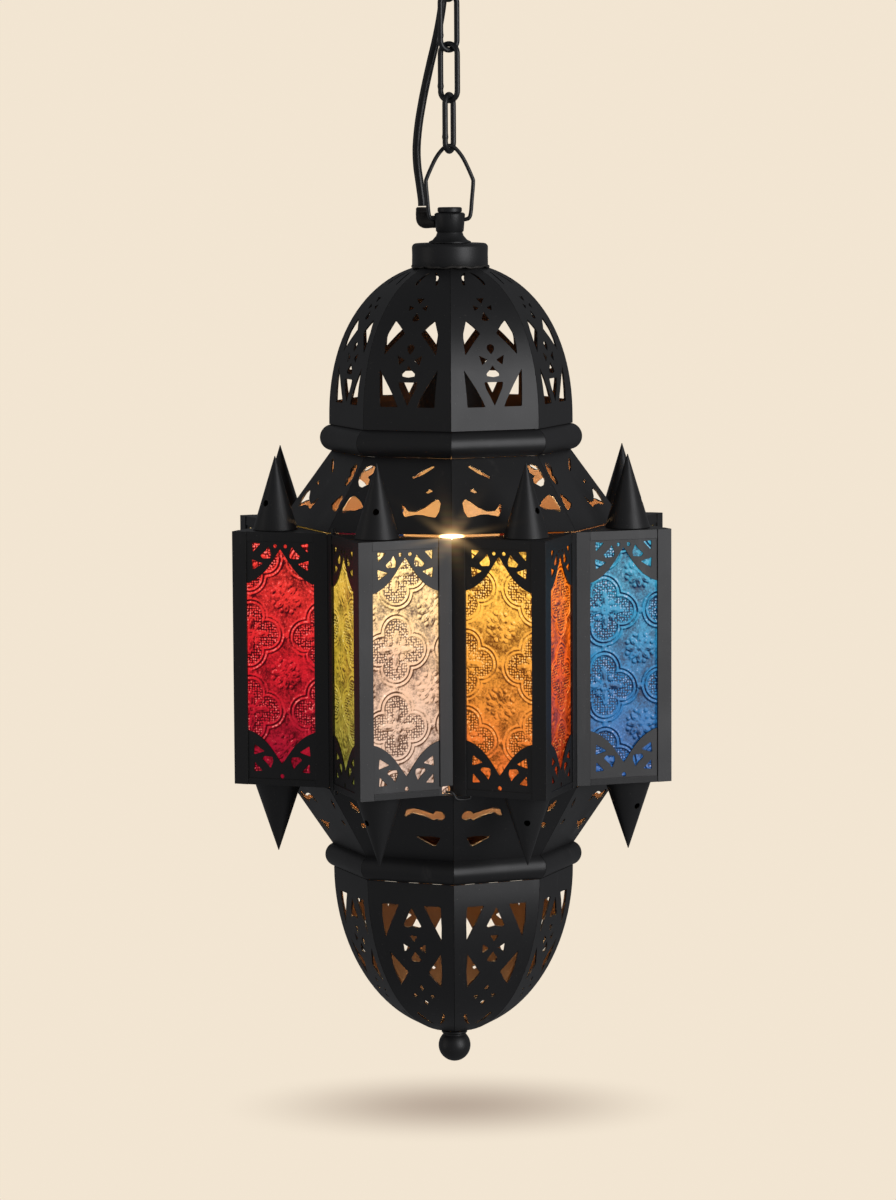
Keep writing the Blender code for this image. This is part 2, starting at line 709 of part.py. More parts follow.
def make_upper_dome():
    height = superellipse_height(UPPER_OPENING, UPPER_RADIUS, UPPER_RISE, UPPER_POWER)
    profile = [(UPPER_RADIUS, UPPER_FOOT)]
    for row in range(UPPER_ROWS + 1):
        up = height * sin(pi / 2 * row / UPPER_ROWS)
        radius = UPPER_RADIUS * (1 - (up / UPPER_RISE) ** UPPER_POWER) ** (1 / UPPER_POWER)
        profile.append((radius, UPPER_BASE + up))
    tall = [(13, 13), (21, 13), (19.5, 34)]
    big = [(7.5, 55), (17, 42), (15.5, 65)]
    kite = [(0, 14), (5, 26), (-5, 26)]
    holes = [*mirrored([tall, big]), kite]
    faceted_shell("upper_dome", profile, [[(x * MM, y * MM) for x, y in h] for h in holes])


def make_lower_dome():
    height = LOWER_BASE - LOWER_FOOT
    profile = []
    for row in range(LOWER_ROWS + 1):
        down = height * sin(pi / 2 * row / LOWER_ROWS)
        profile.append((LOWER_RADIUS * sqrt(1 - (down / LOWER_DROP) ** 2), LOWER_BASE - down))
    profile.reverse()
    length = sum(
        hypot((a - c) * cos(HALF_SIDE), b - d) for (a, b), (c, d) in zip(profile, profile[1:])
    )
    tall = [(12, 11), (20.5, 11), (19.5, 33)]
    big = [(7, 51), (16, 40), (15, 62)]
    up = [(0, 12), (5.5, 25), (-5.5, 25)]
    holes = [*mirrored([tall, big]), up]
    turned_over = [[(x * MM, length - y * MM) for x, y in hole] for hole in holes]
    faceted_shell("lower_dome", profile, turned_over)


def hinge_pin_place():
    """The door's hinge axis, in plan, at the valley between the door and the point on its left."""
    valley = -2 * HALF_SIDE
    corner = polar(VALLEY_RADIUS, valley, 0)
    along = Vector((cos(valley), sin(valley), 0))
    return (corner + along * HINGE_INSET).xy


def trim_flare(flare, top, foot):
    """Cuts the slanted edge of a flare's sheet off flat, so that the door's plate clears it."""
    slab = cylinder(f"{flare.name}_trim", 1.2 * VALLEY_RADIUS, top, foot)
    boolean(flare, cutter(slab), "DIFFERENCE")


def add_hinge_lug(flare, top, foot):
    """A small ear on a flare's edge, with a hole for one of the door's pins."""
    at = hinge_pin_place()
    boolean(flare, cutter(cylinder(f"{flare.name}_lug", LUG_RADIUS, top, foot, at)), "UNION")
    hole = cylinder(f"{flare.name}_eye", PIN_RADIUS + PIN_CLEARANCE, top + SHEET, foot - SHEET, at)
    boolean(flare, cutter(hole), "DIFFERENCE")


def make_flares():
    leaf = [(9, 9), (14, 7.5), (22, 11), (18, 14)]
    slit = [(7, 30), (17, 34), (16.5, 36), (7, 32.5)]
    comma = [(25, 26), (28, 22), (29, 28), (26.5, 33)]
    upper = [(VALLEY_RADIUS, UPPER_FLARE_FOOT), (FLARE_NECK, UPPER_FLARE_TOP)]
    holes = [[(x * MM, y * MM) for x, y in hole] for hole in mirrored([leaf, slit, comma])]
    flare = faceted_shell("upper_flare", upper, holes)
    trim_flare(flare, UPPER_FLARE_FOOT, UPPER_FLARE_FOOT - 2 * SHEET)
    add_hinge_lug(flare, UPPER_FLARE_FOOT + LUG_THICKNESS, UPPER_FLARE_FOOT)

    lower = [(LOWER_FLARE_NECK, LOWER_FLARE_FOOT), (VALLEY_RADIUS, LOWER_FLARE_TOP)]
    moustache = [(5, 36), (8, 33), (22, 37), (25, 33), (23, 40), (14, 41)]
    drop = [(5, 17), (15, 19), (5, 24)]
    holes = [[(x * MM, y * MM) for x, y in hole] for hole in mirrored([moustache, drop])]
    flare = faceted_shell("lower_flare", lower, holes)
    trim_flare(flare, LOWER_FLARE_TOP + 2 * SHEET, LOWER_FLARE_TOP)
    add_hinge_lug(flare, LOWER_FLARE_TOP, LOWER_FLARE_TOP - LUG_THICKNESS)


def make_ring(name, bead, centre, height):
    """A C-shaped bead round the octagon, open to the inside."""
    profile = arc((centre, height), bead, pi - BEAD_OPENING, -pi + BEAD_OPENING, 10)
    ring = turned(name, profile, BLACK_METAL, steps=SIDES)
    solidify(ring, SHEET)


def panel_frame(azimuth, right):
    """The panel's left foot corner, its direction across and its width, on a point's left or right."""
    reach = HALF_SIDE - CASE_GAP / 2 / VALLEY_RADIUS
    ridge = polar(RIDGE_RADIUS, azimuth, STAR_FOOT)
    valley = polar(VALLEY_RADIUS, azimuth + (reach if right else -reach), STAR_FOOT)
    start, end = (ridge, valley) if right else (valley, ridge)
    return start, (end - start).normalized(), (end - start).length


def pane_opening(width):
    """The outline of a panel's opening: straight sides and a pointed arch at the top and foot."""
    half = width / 2 - STRIP
    arch = [(1, 0), (0.82, 0.31), (0.43, 0.53), (0.2, 0.78), (0, 1)]
    top = STAR_HEIGHT - TOP_SHOULDER
    rise = TOP_SHOULDER - TOP_APEX
    drop = FOOT_SHOULDER - FOOT_APEX
    right = [(half * x, top + rise * y) for x, y in arch]
    below = [(half * x, FOOT_SHOULDER - drop * y) for x, y in reversed(arch)]
    left = [(-x, y) for x, y in reversed(right[:-1])]
    left_below = [(-x, y) for x, y in reversed(below[1:])]
    return [(width / 2 + x, y) for x, y in [*right, *left, *left_below, *below]]


def make_case(name, azimuth, is_door):
    """A point of the star: two pierced panels and the plates above and below them, in one sheet."""
    sheet = bmesh.new()
    for right in (False, True):
        start, across, width = panel_frame(azimuth, right)
        outline = [(0, 0), (width, 0), (width, STAR_HEIGHT), (0, STAR_HEIGHT)]
        if is_door and right:
            notch = width - NOTCH_WIDTH
            raised = SHEET + NOTCH_HEIGHT
            outline[1:2] = [(width, 0), (width, SHEET), (notch, SHEET), (notch, raised), (width, raised)]
        panel = filled([outline, pane_opening(width)])
        for corner in panel.verts:
            corner.co = start + across * corner.co.x + Vector((0, 0, corner.co.y))
        mesh = bpy.data.meshes.new(name)
        panel.to_mesh(mesh)
        panel.free()
        sheet.from_mesh(mesh)
        bpy.data.meshes.remove(mesh)
    valley_left, _, _ = panel_frame(azimuth, False)
    ridge, across, width = panel_frame(azimuth, True)
    valley_right = ridge + across * width
    for height in (0, STAR_HEIGHT):
        up = Vector((0, 0, height))
        sheet.faces.new([sheet.verts.new(p + up) for p in (valley_left, ridge, valley_right)])
    bmesh.ops.remove_doubles(sheet, verts=sheet.verts, dist=0.00002)
    bmesh.ops.recalc_face_normals(sheet, faces=sheet.faces)
    top_plate = max(sheet.faces, key=lambda face: face.calc_center_median().z)
    if top_plate.normal.z < 0:
        bmesh.ops.reverse_faces(sheet, faces=sheet.faces)
    mesh = bpy.data.meshes.new(name)
    sheet.to_mesh(mesh)
    sheet.free()
    case = place(name, mesh, BLACK_METAL)
    solidify(case, SHEET)
    return case


def add_door_pins(door):
    """The stubs that the door turns on, soldered to its plates."""
    at = hinge_pin_place()
    top_pin = cylinder("top_pin", PIN_RADIUS, STAR_TOP + PIN_HEIGHT, STAR_TOP - SHEET / 2, at)
    foot_pin = cylinder("foot_pin", PIN_RADIUS, STAR_FOOT + SHEET / 2, STAR_FOOT - PIN_HEIGHT, at)
    boolean(door, cutter(top_pin), "UNION")
    boolean(door, cutter(foot_pin), "UNION")


def add_latch_hole(case):
    """The hole in a case's foot plate that the latch turns in."""
    radius = LATCH_WIRE / 2 + BORE_CLEARANCE
    hole = cylinder("latch_hole", radius, STAR_FOOT + 2 * SHEET, STAR_FOOT - SHEET, LATCH_PIVOT)
    boolean(case, cutter(hole), "DIFFERENCE")


def make_pane(name, azimuth, right, material):
    """A flat pane behind a panel, standing on the case's foot plate."""
    start, across, width = panel_frame(azimuth, right)
    inward = Vector((across.y, -across.x, 0))
    if inward.dot(Vector((start.x, start.y, 0))) > 0:
        inward.negate()
    left, far = PANE_VALLEY_INSET, PANE_RIDGE_INSET
    if right:
        left, far = far, left
    bm = bmesh.new()
    bmesh.ops.create_cube(bm, size=1)
    clear = SHEET + GAP
    size = Vector((width - left - far, PANE_THICKNESS, STAR_HEIGHT - 2 * clear))
    bmesh.ops.scale(bm, vec=size, verts=bm.verts)
    middle = start + across * (left + size.x / 2) + inward * (clear + PANE_THICKNESS / 2)
    middle.z = STAR_FOOT + STAR_HEIGHT / 2
    turn = Matrix((across, -inward, (0, 0, 1))).transposed().to_4x4()
    bmesh.ops.transform(bm, matrix=Matrix.Translation(middle) @ turn, verts=bm.verts)
    bmesh.ops.recalc_face_normals(bm, faces=bm.faces)
    mesh = bpy.data.meshes.new(name)
    bm.to_mesh(mesh)
    bm.free()
    place(name, mesh, material)


def make_spire(name, azimuth, top):
    """A hollow cone that stands on, or hangs under, a point of the star."""
    radius, height = (
        (SPIRE_RADIUS, TOP_SPIRE_HEIGHT) if top else (FOOT_SPIRE_RADIUS, FOOT_SPIRE_HEIGHT)
    )
    wall = SHEET * hypot(radius, height) / height
    depth = height * (1 - 2 * wall / radius)
    base = STAR_TOP + GAP if top else STAR_FOOT - GAP
    outer = [(0, height), (SPIRE_TIP, height - SPIRE_TIP / 2), (radius, 0)]
    inner = [(radius - wall, 0), (0, depth)]
    profile = [(r, base + z) for r, z in [*outer, *inner]]
    if not top:
        profile = [(r, base - z) for r, z in [*reversed(inner), *reversed(outer)]]
    spire = turned(name, profile, BLACK_METAL, steps=SPIRE_STEPS)
    spire.location = polar(SPIRE_CENTRE, azimuth, 0)
    smooth(spire)


def make_star():
    other = 0
    for point in range(SIDES):
        azimuth = (2 * point - 1) * HALF_SIDE
        is_door = point == 0
        other += not is_door
        name = "door_case" if is_door else f"point_case_{other}"
        case = make_case(name, azimuth, is_door)
        if is_door:
            add_door_pins(case)
        if point == 1:
            add_latch_hole(case)
        for right, colour in enumerate(PANE_ORDER[point]):
            pane = f"pane_{2 * point + right + 1:02d}_{colour}"
            make_pane(pane, azimuth, bool(right), GLASS[colour])
        make_spire(f"top_spire_{point + 1}", azimuth, top=True)
        make_spire(f"foot_spire_{point + 1}", azimuth, top=False)


def make_latch():
    """A bent wire: a pin through the case's foot plate, an arm below it and a tip in the notch."""
    x, y = LATCH_PIVOT
    front = -VALLEY_RADIUS - 3.2 * MM
    route = [
        (x, y, STAR_FOOT + SHEET + 1.6 * MM),
        (x, y, STAR_FOOT - 1.4 * MM),
        (x - 0.9 * MM, y - 0.5 * MM, STAR_FOOT - 2.5 * MM),
        (0.42 * x, front + 1.4 * MM, STAR_FOOT - 2.6 * MM),
        (0.16 * x, front, STAR_FOOT - 1.6 * MM),
        (0.03 * x, front, STAR_FOOT + 0.8 * MM),
        (-0.13 * x, front, STAR_FOOT + 2 * MM),
        (-LATCH_TIP, front + 0.5 * MM, STAR_FOOT + 2.3 * MM),
    ]
    points = smooth_curve([Vector(point) for point in route], 1.6 * MM)
    wire("door_latch", points, LATCH_WIRE, BLACK_METAL)


def make_finial():
    """A ball under a small disc, on a stud whose nut sits inside the lower dome."""
    disc_top = LOWER_FOOT - GAP
    disc_foot = disc_top - FINIAL_DISC_THICKNESS
    shoulder = radians(46)  # where the ball runs up into its neck
    ball = disc_foot - FINIAL_NECK - FINIAL_BALL * sin(shoulder)
    nut_foot = LOWER_FOOT + FINIAL_NUT_CLEARANCE
    nut_top = nut_foot + FINIAL_NUT_HEIGHT
    stud_end = nut_top + FINIAL_STUD_END
    profile = [
        (0, stud_end),
        (FINIAL_STUD, stud_end),
        (FINIAL_STUD, nut_top),
        (FINIAL_DISC, nut_top),
        (FINIAL_DISC, nut_foot),
        (FINIAL_STUD, nut_foot),
        (FINIAL_STUD, disc_top),
        (FINIAL_DISC, disc_top),
        (FINIAL_DISC, disc_foot),
        *arc((0, ball), FINIAL_BALL, shoulder, radians(-90), 10)[:-1],
        (0, ball - FINIAL_BALL),
    ]
    smooth(turned("finial", profile, BLACK_METAL, steps=20))


make_canopy()
make_hook()
make_chain()
make_bail()
make_hub()
make_gland()
make_cord()
make_collar()
make_lampholder()
make_bulb()
make_upper_dome()
make_ring("upper_ring", UPPER_BEAD, UPPER_BEAD_CENTRE, UPPER_RING_HEIGHT)
make_flares()
make_star()
make_latch()
make_ring("lower_ring", LOWER_BEAD, LOWER_BEAD_CENTRE, LOWER_RING_HEIGHT)
make_lower_dome()
make_finial()
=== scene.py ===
"""Looks for the eight-pointed star lantern: pierced black sheet metal, pressed coloured glass, chain and cord.

Every piece stands where its CAD piece stands. Lengths are in metres, +Z is up and -Y is the front. The
octagon has a corner at the front, and point k of the star stands (2k - 1) half sides round from it.
"""

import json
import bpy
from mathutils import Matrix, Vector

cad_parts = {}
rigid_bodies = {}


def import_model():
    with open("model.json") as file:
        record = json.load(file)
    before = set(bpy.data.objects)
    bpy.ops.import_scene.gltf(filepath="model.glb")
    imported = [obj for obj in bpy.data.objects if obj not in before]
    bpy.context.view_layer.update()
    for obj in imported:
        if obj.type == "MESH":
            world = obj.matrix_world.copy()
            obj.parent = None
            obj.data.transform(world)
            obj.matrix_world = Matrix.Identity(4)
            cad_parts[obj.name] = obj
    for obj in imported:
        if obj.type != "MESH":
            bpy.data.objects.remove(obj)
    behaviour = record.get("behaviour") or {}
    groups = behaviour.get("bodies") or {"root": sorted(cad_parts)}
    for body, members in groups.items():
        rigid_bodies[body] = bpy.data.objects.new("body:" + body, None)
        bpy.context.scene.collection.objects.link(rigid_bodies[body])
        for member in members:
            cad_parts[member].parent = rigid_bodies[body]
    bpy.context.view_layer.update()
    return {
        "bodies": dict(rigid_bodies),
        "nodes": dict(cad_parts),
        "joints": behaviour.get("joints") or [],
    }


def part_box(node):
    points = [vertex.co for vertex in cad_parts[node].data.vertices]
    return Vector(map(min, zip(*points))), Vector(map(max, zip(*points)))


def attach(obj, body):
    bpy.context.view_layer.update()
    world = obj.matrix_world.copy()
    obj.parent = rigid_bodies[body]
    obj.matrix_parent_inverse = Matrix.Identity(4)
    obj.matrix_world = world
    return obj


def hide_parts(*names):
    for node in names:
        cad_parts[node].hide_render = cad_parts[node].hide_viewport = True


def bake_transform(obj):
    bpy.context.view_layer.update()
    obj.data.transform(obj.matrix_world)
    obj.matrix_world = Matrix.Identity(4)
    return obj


bl_info = {
    "name": "Star Lantern",
    "version": (1, 0, 0),
    "blender": (4, 5, 0),
    "location": "View3D > Sidebar > Lantern",
    "description": "Pierced metal, pressed glass, chain and cord of a hanging star lantern",
    "category": "Add Mesh",
}

from functools import partial
from math import cos, exp, hypot, pi, radians, sin, sqrt

import bmesh
import bpy
import numpy as np
from bpy.props import FloatProperty, FloatVectorProperty, PointerProperty
from mathutils import Matrix, Vector

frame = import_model()

MM = 0.001
SIDES = 8
HALF_SIDE = pi / SIDES  # half the angle that one side of the octagon spans
GAP = 0.3 * MM  # between pieces that touch


def low(node, axis=2):
    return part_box(node)[0][axis]


def high(node, axis=2):
    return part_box(node)[1][axis]


# Levels and radii, read from the frame
STAR_FOOT, STAR_TOP = low("point_case_1"), high("point_case_1")
STAR_HEIGHT = STAR_TOP - STAR_FOOT
VALLEY_RADIUS = high("upper_flare", 0)
RIDGE_RADIUS = high("point_case_2", 0) / cos(HALF_SIDE)
PIVOT = next(joint["pos_m"] for joint in frame["joints"] if joint["name"] == "bail_to_hub")[2]

# The cord's route, from the gland's neck up behind the chain and into the canopy
CORD_ROUTE = [
    (-16.5 * MM, 13.8 * MM, PIVOT + 7.8 * MM),
    (-16.7 * MM, 13.8 * MM, -166 * MM),
    (-18.0 * MM, 13.6 * MM, -156 * MM),
    (-19.3 * MM, 13.3 * MM, -146 * MM),
    (-19.6 * MM, 12.9 * MM, -135 * MM),
    (-18.4 * MM, 12.6 * MM, -122 * MM),
    (-16.4 * MM, 12.3 * MM, -110 * MM),
    (-14.2 * MM, 12.0 * MM, -99 * MM),
    (-11.0 * MM, 11.8 * MM, -85 * MM),
    (-7.8 * MM, 11.7 * MM, -72 * MM),
    (-5.3 * MM, 11.7 * MM, -60 * MM),
    (-3.6 * MM, 11.8 * MM, -49 * MM),
    (-2.6 * MM, 11.9 * MM, -38 * MM),
    (-2.2 * MM, 12.0 * MM, -28 * MM),
    (-2.2 * MM, 12.0 * MM, -17 * MM),
]
# Where the cord is divided, from the top, with the bodies above and below each stretch
CORD_STRETCHES = [
    # name, top, foot, upper body, lower body, where the bend starts, where it ends
    ("cord_at_canopy", -17, -47.8, "ceiling", "link_1", -35, -47),
    ("cord_by_link_1", -47.8, -78.5, "link_1", "link_2", -62, -78),
    ("cord_by_link_2", -78.5, -109.1, "link_2", "link_3", -93, -109),
    ("cord_by_link_3", -109.1, -139.5, "link_3", "bail", -124, -139),
    ("cord_by_bail", -139.5, None, "bail", "lantern", -150, -168),
]

# Pane colours, all painted light: the painted backlight near the top, at the middle and at the foot, the painted shade
# in the pattern's hollows and the painted glints
GLASS_COLOURS = {
    "red": ((0.85, 0.045, 0.03), (0.62, 0.012, 0.02), (0.26, 0.004, 0.02), (0.05, 0.001, 0.003), (1.0, 0.30, 0.26)),
    "olive": ((0.70, 0.43, 0.06), (0.46, 0.32, 0.03), (0.15, 0.17, 0.035), (0.055, 0.04, 0.005), (0.95, 0.80, 0.30)),
    "clear": ((1.25, 0.86, 0.30), (0.78, 0.47, 0.29), (0.60, 0.42, 0.33), (0.09, 0.038, 0.018), (1.0, 0.90, 0.70)),
    "amber": ((1.30, 0.74, 0.11), (0.82, 0.31, 0.04), (0.72, 0.13, 0.025), (0.13, 0.035, 0.004), (1.0, 0.80, 0.36)),
    "orange": ((0.95, 0.22, 0.008), (0.72, 0.085, 0.006), (0.20, 0.016, 0.004), (0.07, 0.005, 0.002), (1.0, 0.50, 0.12)),
    "blue": ((0.045, 0.34, 0.48), (0.018, 0.18, 0.38), (0.022, 0.09, 0.30), (0.003, 0.014, 0.05), (0.62, 0.58, 0.72)),
}


class LanternMetal(bpy.types.PropertyGroup):
    sheet: FloatProperty(
        name="Sheet", description="Thickness of the sheet metal", default=0.9 * MM, unit="LENGTH"
    )
    seam: FloatProperty(
        name="Seam", description="Open line between two panels", default=0.28 * MM, unit="LENGTH"
    )
    strip: FloatProperty(
        name="Channel", description="Width of the channel beside a pane", default=8.5 * MM, unit="LENGTH"
    )
    paint: FloatVectorProperty(
        name="Paint", description="Satin black paint", default=(0.014, 0.014, 0.0145), subtype="COLOR"
    )
    # The inside colour is painted light: its brown stands in for the lamp's warm glow on the inner face.
    inside: FloatVectorProperty(
        name="Inside", description="Heat-browned inner face", default=(0.10, 0.05, 0.022), subtype="COLOR"
    )


class LanternGlass(bpy.types.PropertyGroup):
    thickness: FloatProperty(
        name="Pane", description="Thickness of a pane", default=2.6 * MM, unit="LENGTH"
    )
    relief: FloatProperty(
        name="Relief", description="Height of the pressed pattern", default=0.55 * MM, unit="LENGTH"
    )
    repeat: FloatProperty(
        name="Repeat", description="Pattern's repeat, both ways", default=45 * MM, unit="LENGTH"
    )
    grid: FloatProperty(
        name="Grid", description="Mesh spacing on a pane's face", default=0.5 * MM, unit="LENGTH"
    )


class LanternStage(bpy.types.PropertyGroup):
    backdrop: FloatVectorProperty(
        name="Backdrop", description="Cream room behind the lantern", default=(0.889, 0.785, 0.645), subtype="COLOR"
    )
    distance: FloatProperty(
        name="Camera distance", description="From the lantern's axis", default=2.7, unit="LENGTH"
    )
    floor: FloatProperty(
        name="Floor", description="Below the finial's foot", default=28 * MM, unit="LENGTH"
    )


def metal():
    return bpy.context.scene.lantern_metal


def glass():
    return bpy.context.scene.lantern_glass


def stage():
    return bpy.context.scene.lantern_stage


# ---------------------------------------------------------------- shaders


class Signal:
    """A shader socket's value, so that shader maths reads as an expression."""

    def __init__(self, finish, socket):
        self.finish = finish
        self.socket = socket

    def maths(self, operation, *values, clamp=False):
        return self.finish.node("ShaderNodeMath", list(values), operation=operation, use_clamp=clamp)

    def __add__(self, other):
        return self.maths("ADD", self, other)

    def __sub__(self, other):
        return self.maths("SUBTRACT", self, other)

    def __rsub__(self, other):
        return self.maths("SUBTRACT", other, self)

    def __mul__(self, other):
        return self.maths("MULTIPLY", self, other)

    def __truediv__(self, other):
        return self.maths("DIVIDE", self, other)

    def __pow__(self, other):
        return self.maths("POWER", self, other)

    def clamped(self):
        return self.maths("ADD", self, 0, clamp=True)

    __radd__ = __add__
    __rmul__ = __mul__


class Finish:
    """A material under construction: constants go on the shader, and signals are fed to it."""

    def __init__(self, name, **constants):
        self.material = bpy.data.materials.new(name)
        self.material.use_nodes = True
        self.tree = self.material.node_tree
        self.shader = self.tree.nodes["Principled BSDF"]
        for socket, value in constants.items():
            self.shader.inputs[socket.replace("_", " ").title().replace("Ior", "IOR")].default_value = value

    def node(self, kind, inputs=(), output=0, stops=None, **settings):
        """Adds a node. Its settings come first, then the values or signals of its sockets."""
        node = self.tree.nodes.new(kind)
        for name, value in settings.items():
            setattr(node, name, value)
        for n, (at, colour) in enumerate(stops or ()):
            element = node.color_ramp.elements[n] if n < 2 else node.color_ramp.elements.new(at)
            element.position = at
            element.color = (*colour, 1) if len(colour) == 3 else colour
        pairs = inputs.items() if isinstance(inputs, dict) else enumerate(inputs)
        for name, value in pairs:
            self.join(node.inputs[name], value)
        return Signal(self, node.outputs[output])

    def join(self, socket, value):
        if isinstance(value, Signal):
            self.tree.links.new(value.socket, socket)
        else:
            socket.default_value = (*value, 1) if hasattr(value, "__len__") and len(value) == 3 and len(
                socket.default_value
            ) == 4 else value

    def feed(self, socket, value):
        self.join(self.shader.inputs[socket], value)

    def place(self):
        return self.node("ShaderNodeTexCoord", output="Object")

    def noise(self, where, scale, detail=2.0, rough=0.5, stretch=None):
        if stretch:
            where = self.node("ShaderNodeMapping", {"Vector": where, "Scale": stretch})
        return self.node(
            "ShaderNodeTexNoise", {"Vector": where, "Scale": scale, "Detail": detail, "Roughness": rough}
        )

    def ramp(self, signal, *stops):
        return self.node("ShaderNodeValToRGB", {"Fac": signal}, stops=stops)

    def band(self, signal, start, end):
        """0 before start and 1 after end, with a smooth rise."""
        return self.node(
            "ShaderNodeMapRange",
            {"Value": signal, "From Min": start, "From Max": end},
            interpolation_type="SMOOTHSTEP",
        )

    def mix(self, share, first, second):
        return self.node("ShaderNodeMix", {0: share, 6: first, 7: second}, output=2, data_type="RGBA")

    def bump(self, height, distance, strength=1.0):
        self.feed(
            "Normal",
            self.node("ShaderNodeBump", {"Height": height, "Distance": distance, "Strength": strength}),
        )


def painted_metal():
    """Satin black paint over sheet: a little mottled, with rub marks, specks of dust and orange peel."""
    paint = tuple(metal().paint)
    finish = Finish("satin_black_paint", metallic=0.0, specular_ior_level=0.62)
    where = finish.place()
    cloud = finish.noise(where, 22, 4, 0.6)
    rub = finish.noise(where, 60, 5, 0.7, stretch=(1, 1, 0.22))
    specks = finish.noise(where, 900, 1)
    dull = finish.mix(cloud, paint, tuple(1.7 * c for c in paint))
    worn = finish.mix(finish.band(rub, 0.62, 0.80) * 0.55, dull, (0.085, 0.08, 0.075))
    dusty = finish.mix(finish.band(specks, 0.74, 0.80) * 0.5, worn, (0.16, 0.15, 0.135))
    finish.feed("Base Color", dusty)
    finish.feed("Roughness", 0.36 + 0.16 * cloud - 0.10 * finish.band(rub, 0.55, 0.8))
    finish.bump(finish.noise(where, 700, 2) * 0.6 + rub * 0.8, 0.05 * MM, 0.55)
    return finish.material


def warm_lit_inner_metal():
    """The sheet's inner face: thin paint, coloured brown as painted light that stands in for the lamp's warm glow on
    it.
    """
    warm_light_brown = tuple(metal().inside)
    finish = Finish("warm_lit_inner_face", metallic=0.0, roughness=0.5)
    where = finish.place()
    stain = finish.noise(where, 45, 4, 0.65)
    finish.feed("Base Color", finish.mix(stain, tuple(0.45 * c for c in warm_light_brown), warm_light_brown))
    finish.bump(finish.noise(where, 400, 3), 0.05 * MM, 0.4)
    return finish.material


def cut_edge():
    """The punched edge of the sheet, where the paint is thin."""
    finish = Finish("punched_edge", metallic=0.35)
    where = finish.place()
    chips = finish.noise(where, 260, 3, 0.6)
    finish.feed("Base Color", finish.mix(finish.band(chips, 0.5, 0.66), (0.02, 0.02, 0.02), (0.13, 0.11, 0.09)))
    finish.feed("Roughness", 0.35 + 0.25 * chips)
    return finish.material


def lacquered_wire():
    """Black-lacquered steel wire, glossier than the sheet, rubbed where it bends."""
    finish = Finish("lacquered_wire", metallic=0.0, specular_ior_level=0.7)
    where = finish.place()
    rub = finish.noise(where, 240, 4, 0.65)
    finish.feed("Base Color", finish.mix(finish.band(rub, 0.58, 0.74), (0.016, 0.016, 0.017), (0.075, 0.07, 0.065)))
    finish.feed("Roughness", 0.26 + 0.22 * rub)
    finish.bump(finish.noise(where, 900, 2), 0.06 * MM, 0.5)
    return finish.material


def cord_sheath():
    """Extruded black sheath: smooth, with faint draw lines along it."""
    finish = Finish("cord_sheath", specular_ior_level=0.5)
    where = finish.place()
    lines = finish.noise(where, 900, 2, 0.5, stretch=(1, 1, 0.03))
    finish.feed("Base Color", finish.mix(lines, (0.010, 0.010, 0.011), (0.024, 0.023, 0.023)))
    finish.feed("Roughness", 0.24 + 0.14 * lines)
    finish.bump(lines, 0.04 * MM, 0.5)
    return finish.material


def moulded_plastic():
    """The lampholder's matt phenolic plastic."""
    finish = Finish("moulded_plastic", specular_ior_level=0.4)
    where = finish.place()
    grain = finish.noise(where, 500, 3)
    finish.feed("Base Color", finish.mix(grain, (0.018, 0.016, 0.015), (0.045, 0.038, 0.032)))
    finish.feed("Roughness", 0.42 + 0.2 * grain)
    finish.bump(grain, 0.05 * MM, 0.4)
    return finish.material


def lit_bulb():
    """Frosted glass with the lamp on: brightest round the filament."""
    finish = Finish("lit_frosted_glass", roughness=0.3, emission_strength=1.0)
    filament = Vector((0, -29 * MM, low("bulb") + 21 * MM))
    away = finish.node("ShaderNodeVectorMath", [finish.place(), filament], output="Value", operation="DISTANCE")
    heart = 1 - finish.band(away, 2 * MM, 9 * MM)
    frost = finish.noise(finish.place(), 300, 2)
    finish.feed("Base Color", finish.mix(frost, (0.9, 0.82, 0.68), (0.98, 0.92, 0.8)))
    finish.feed("Emission Color", finish.mix(heart, (0.55, 0.27, 0.08), (30.0, 19.0, 8.0)))
    return finish.material


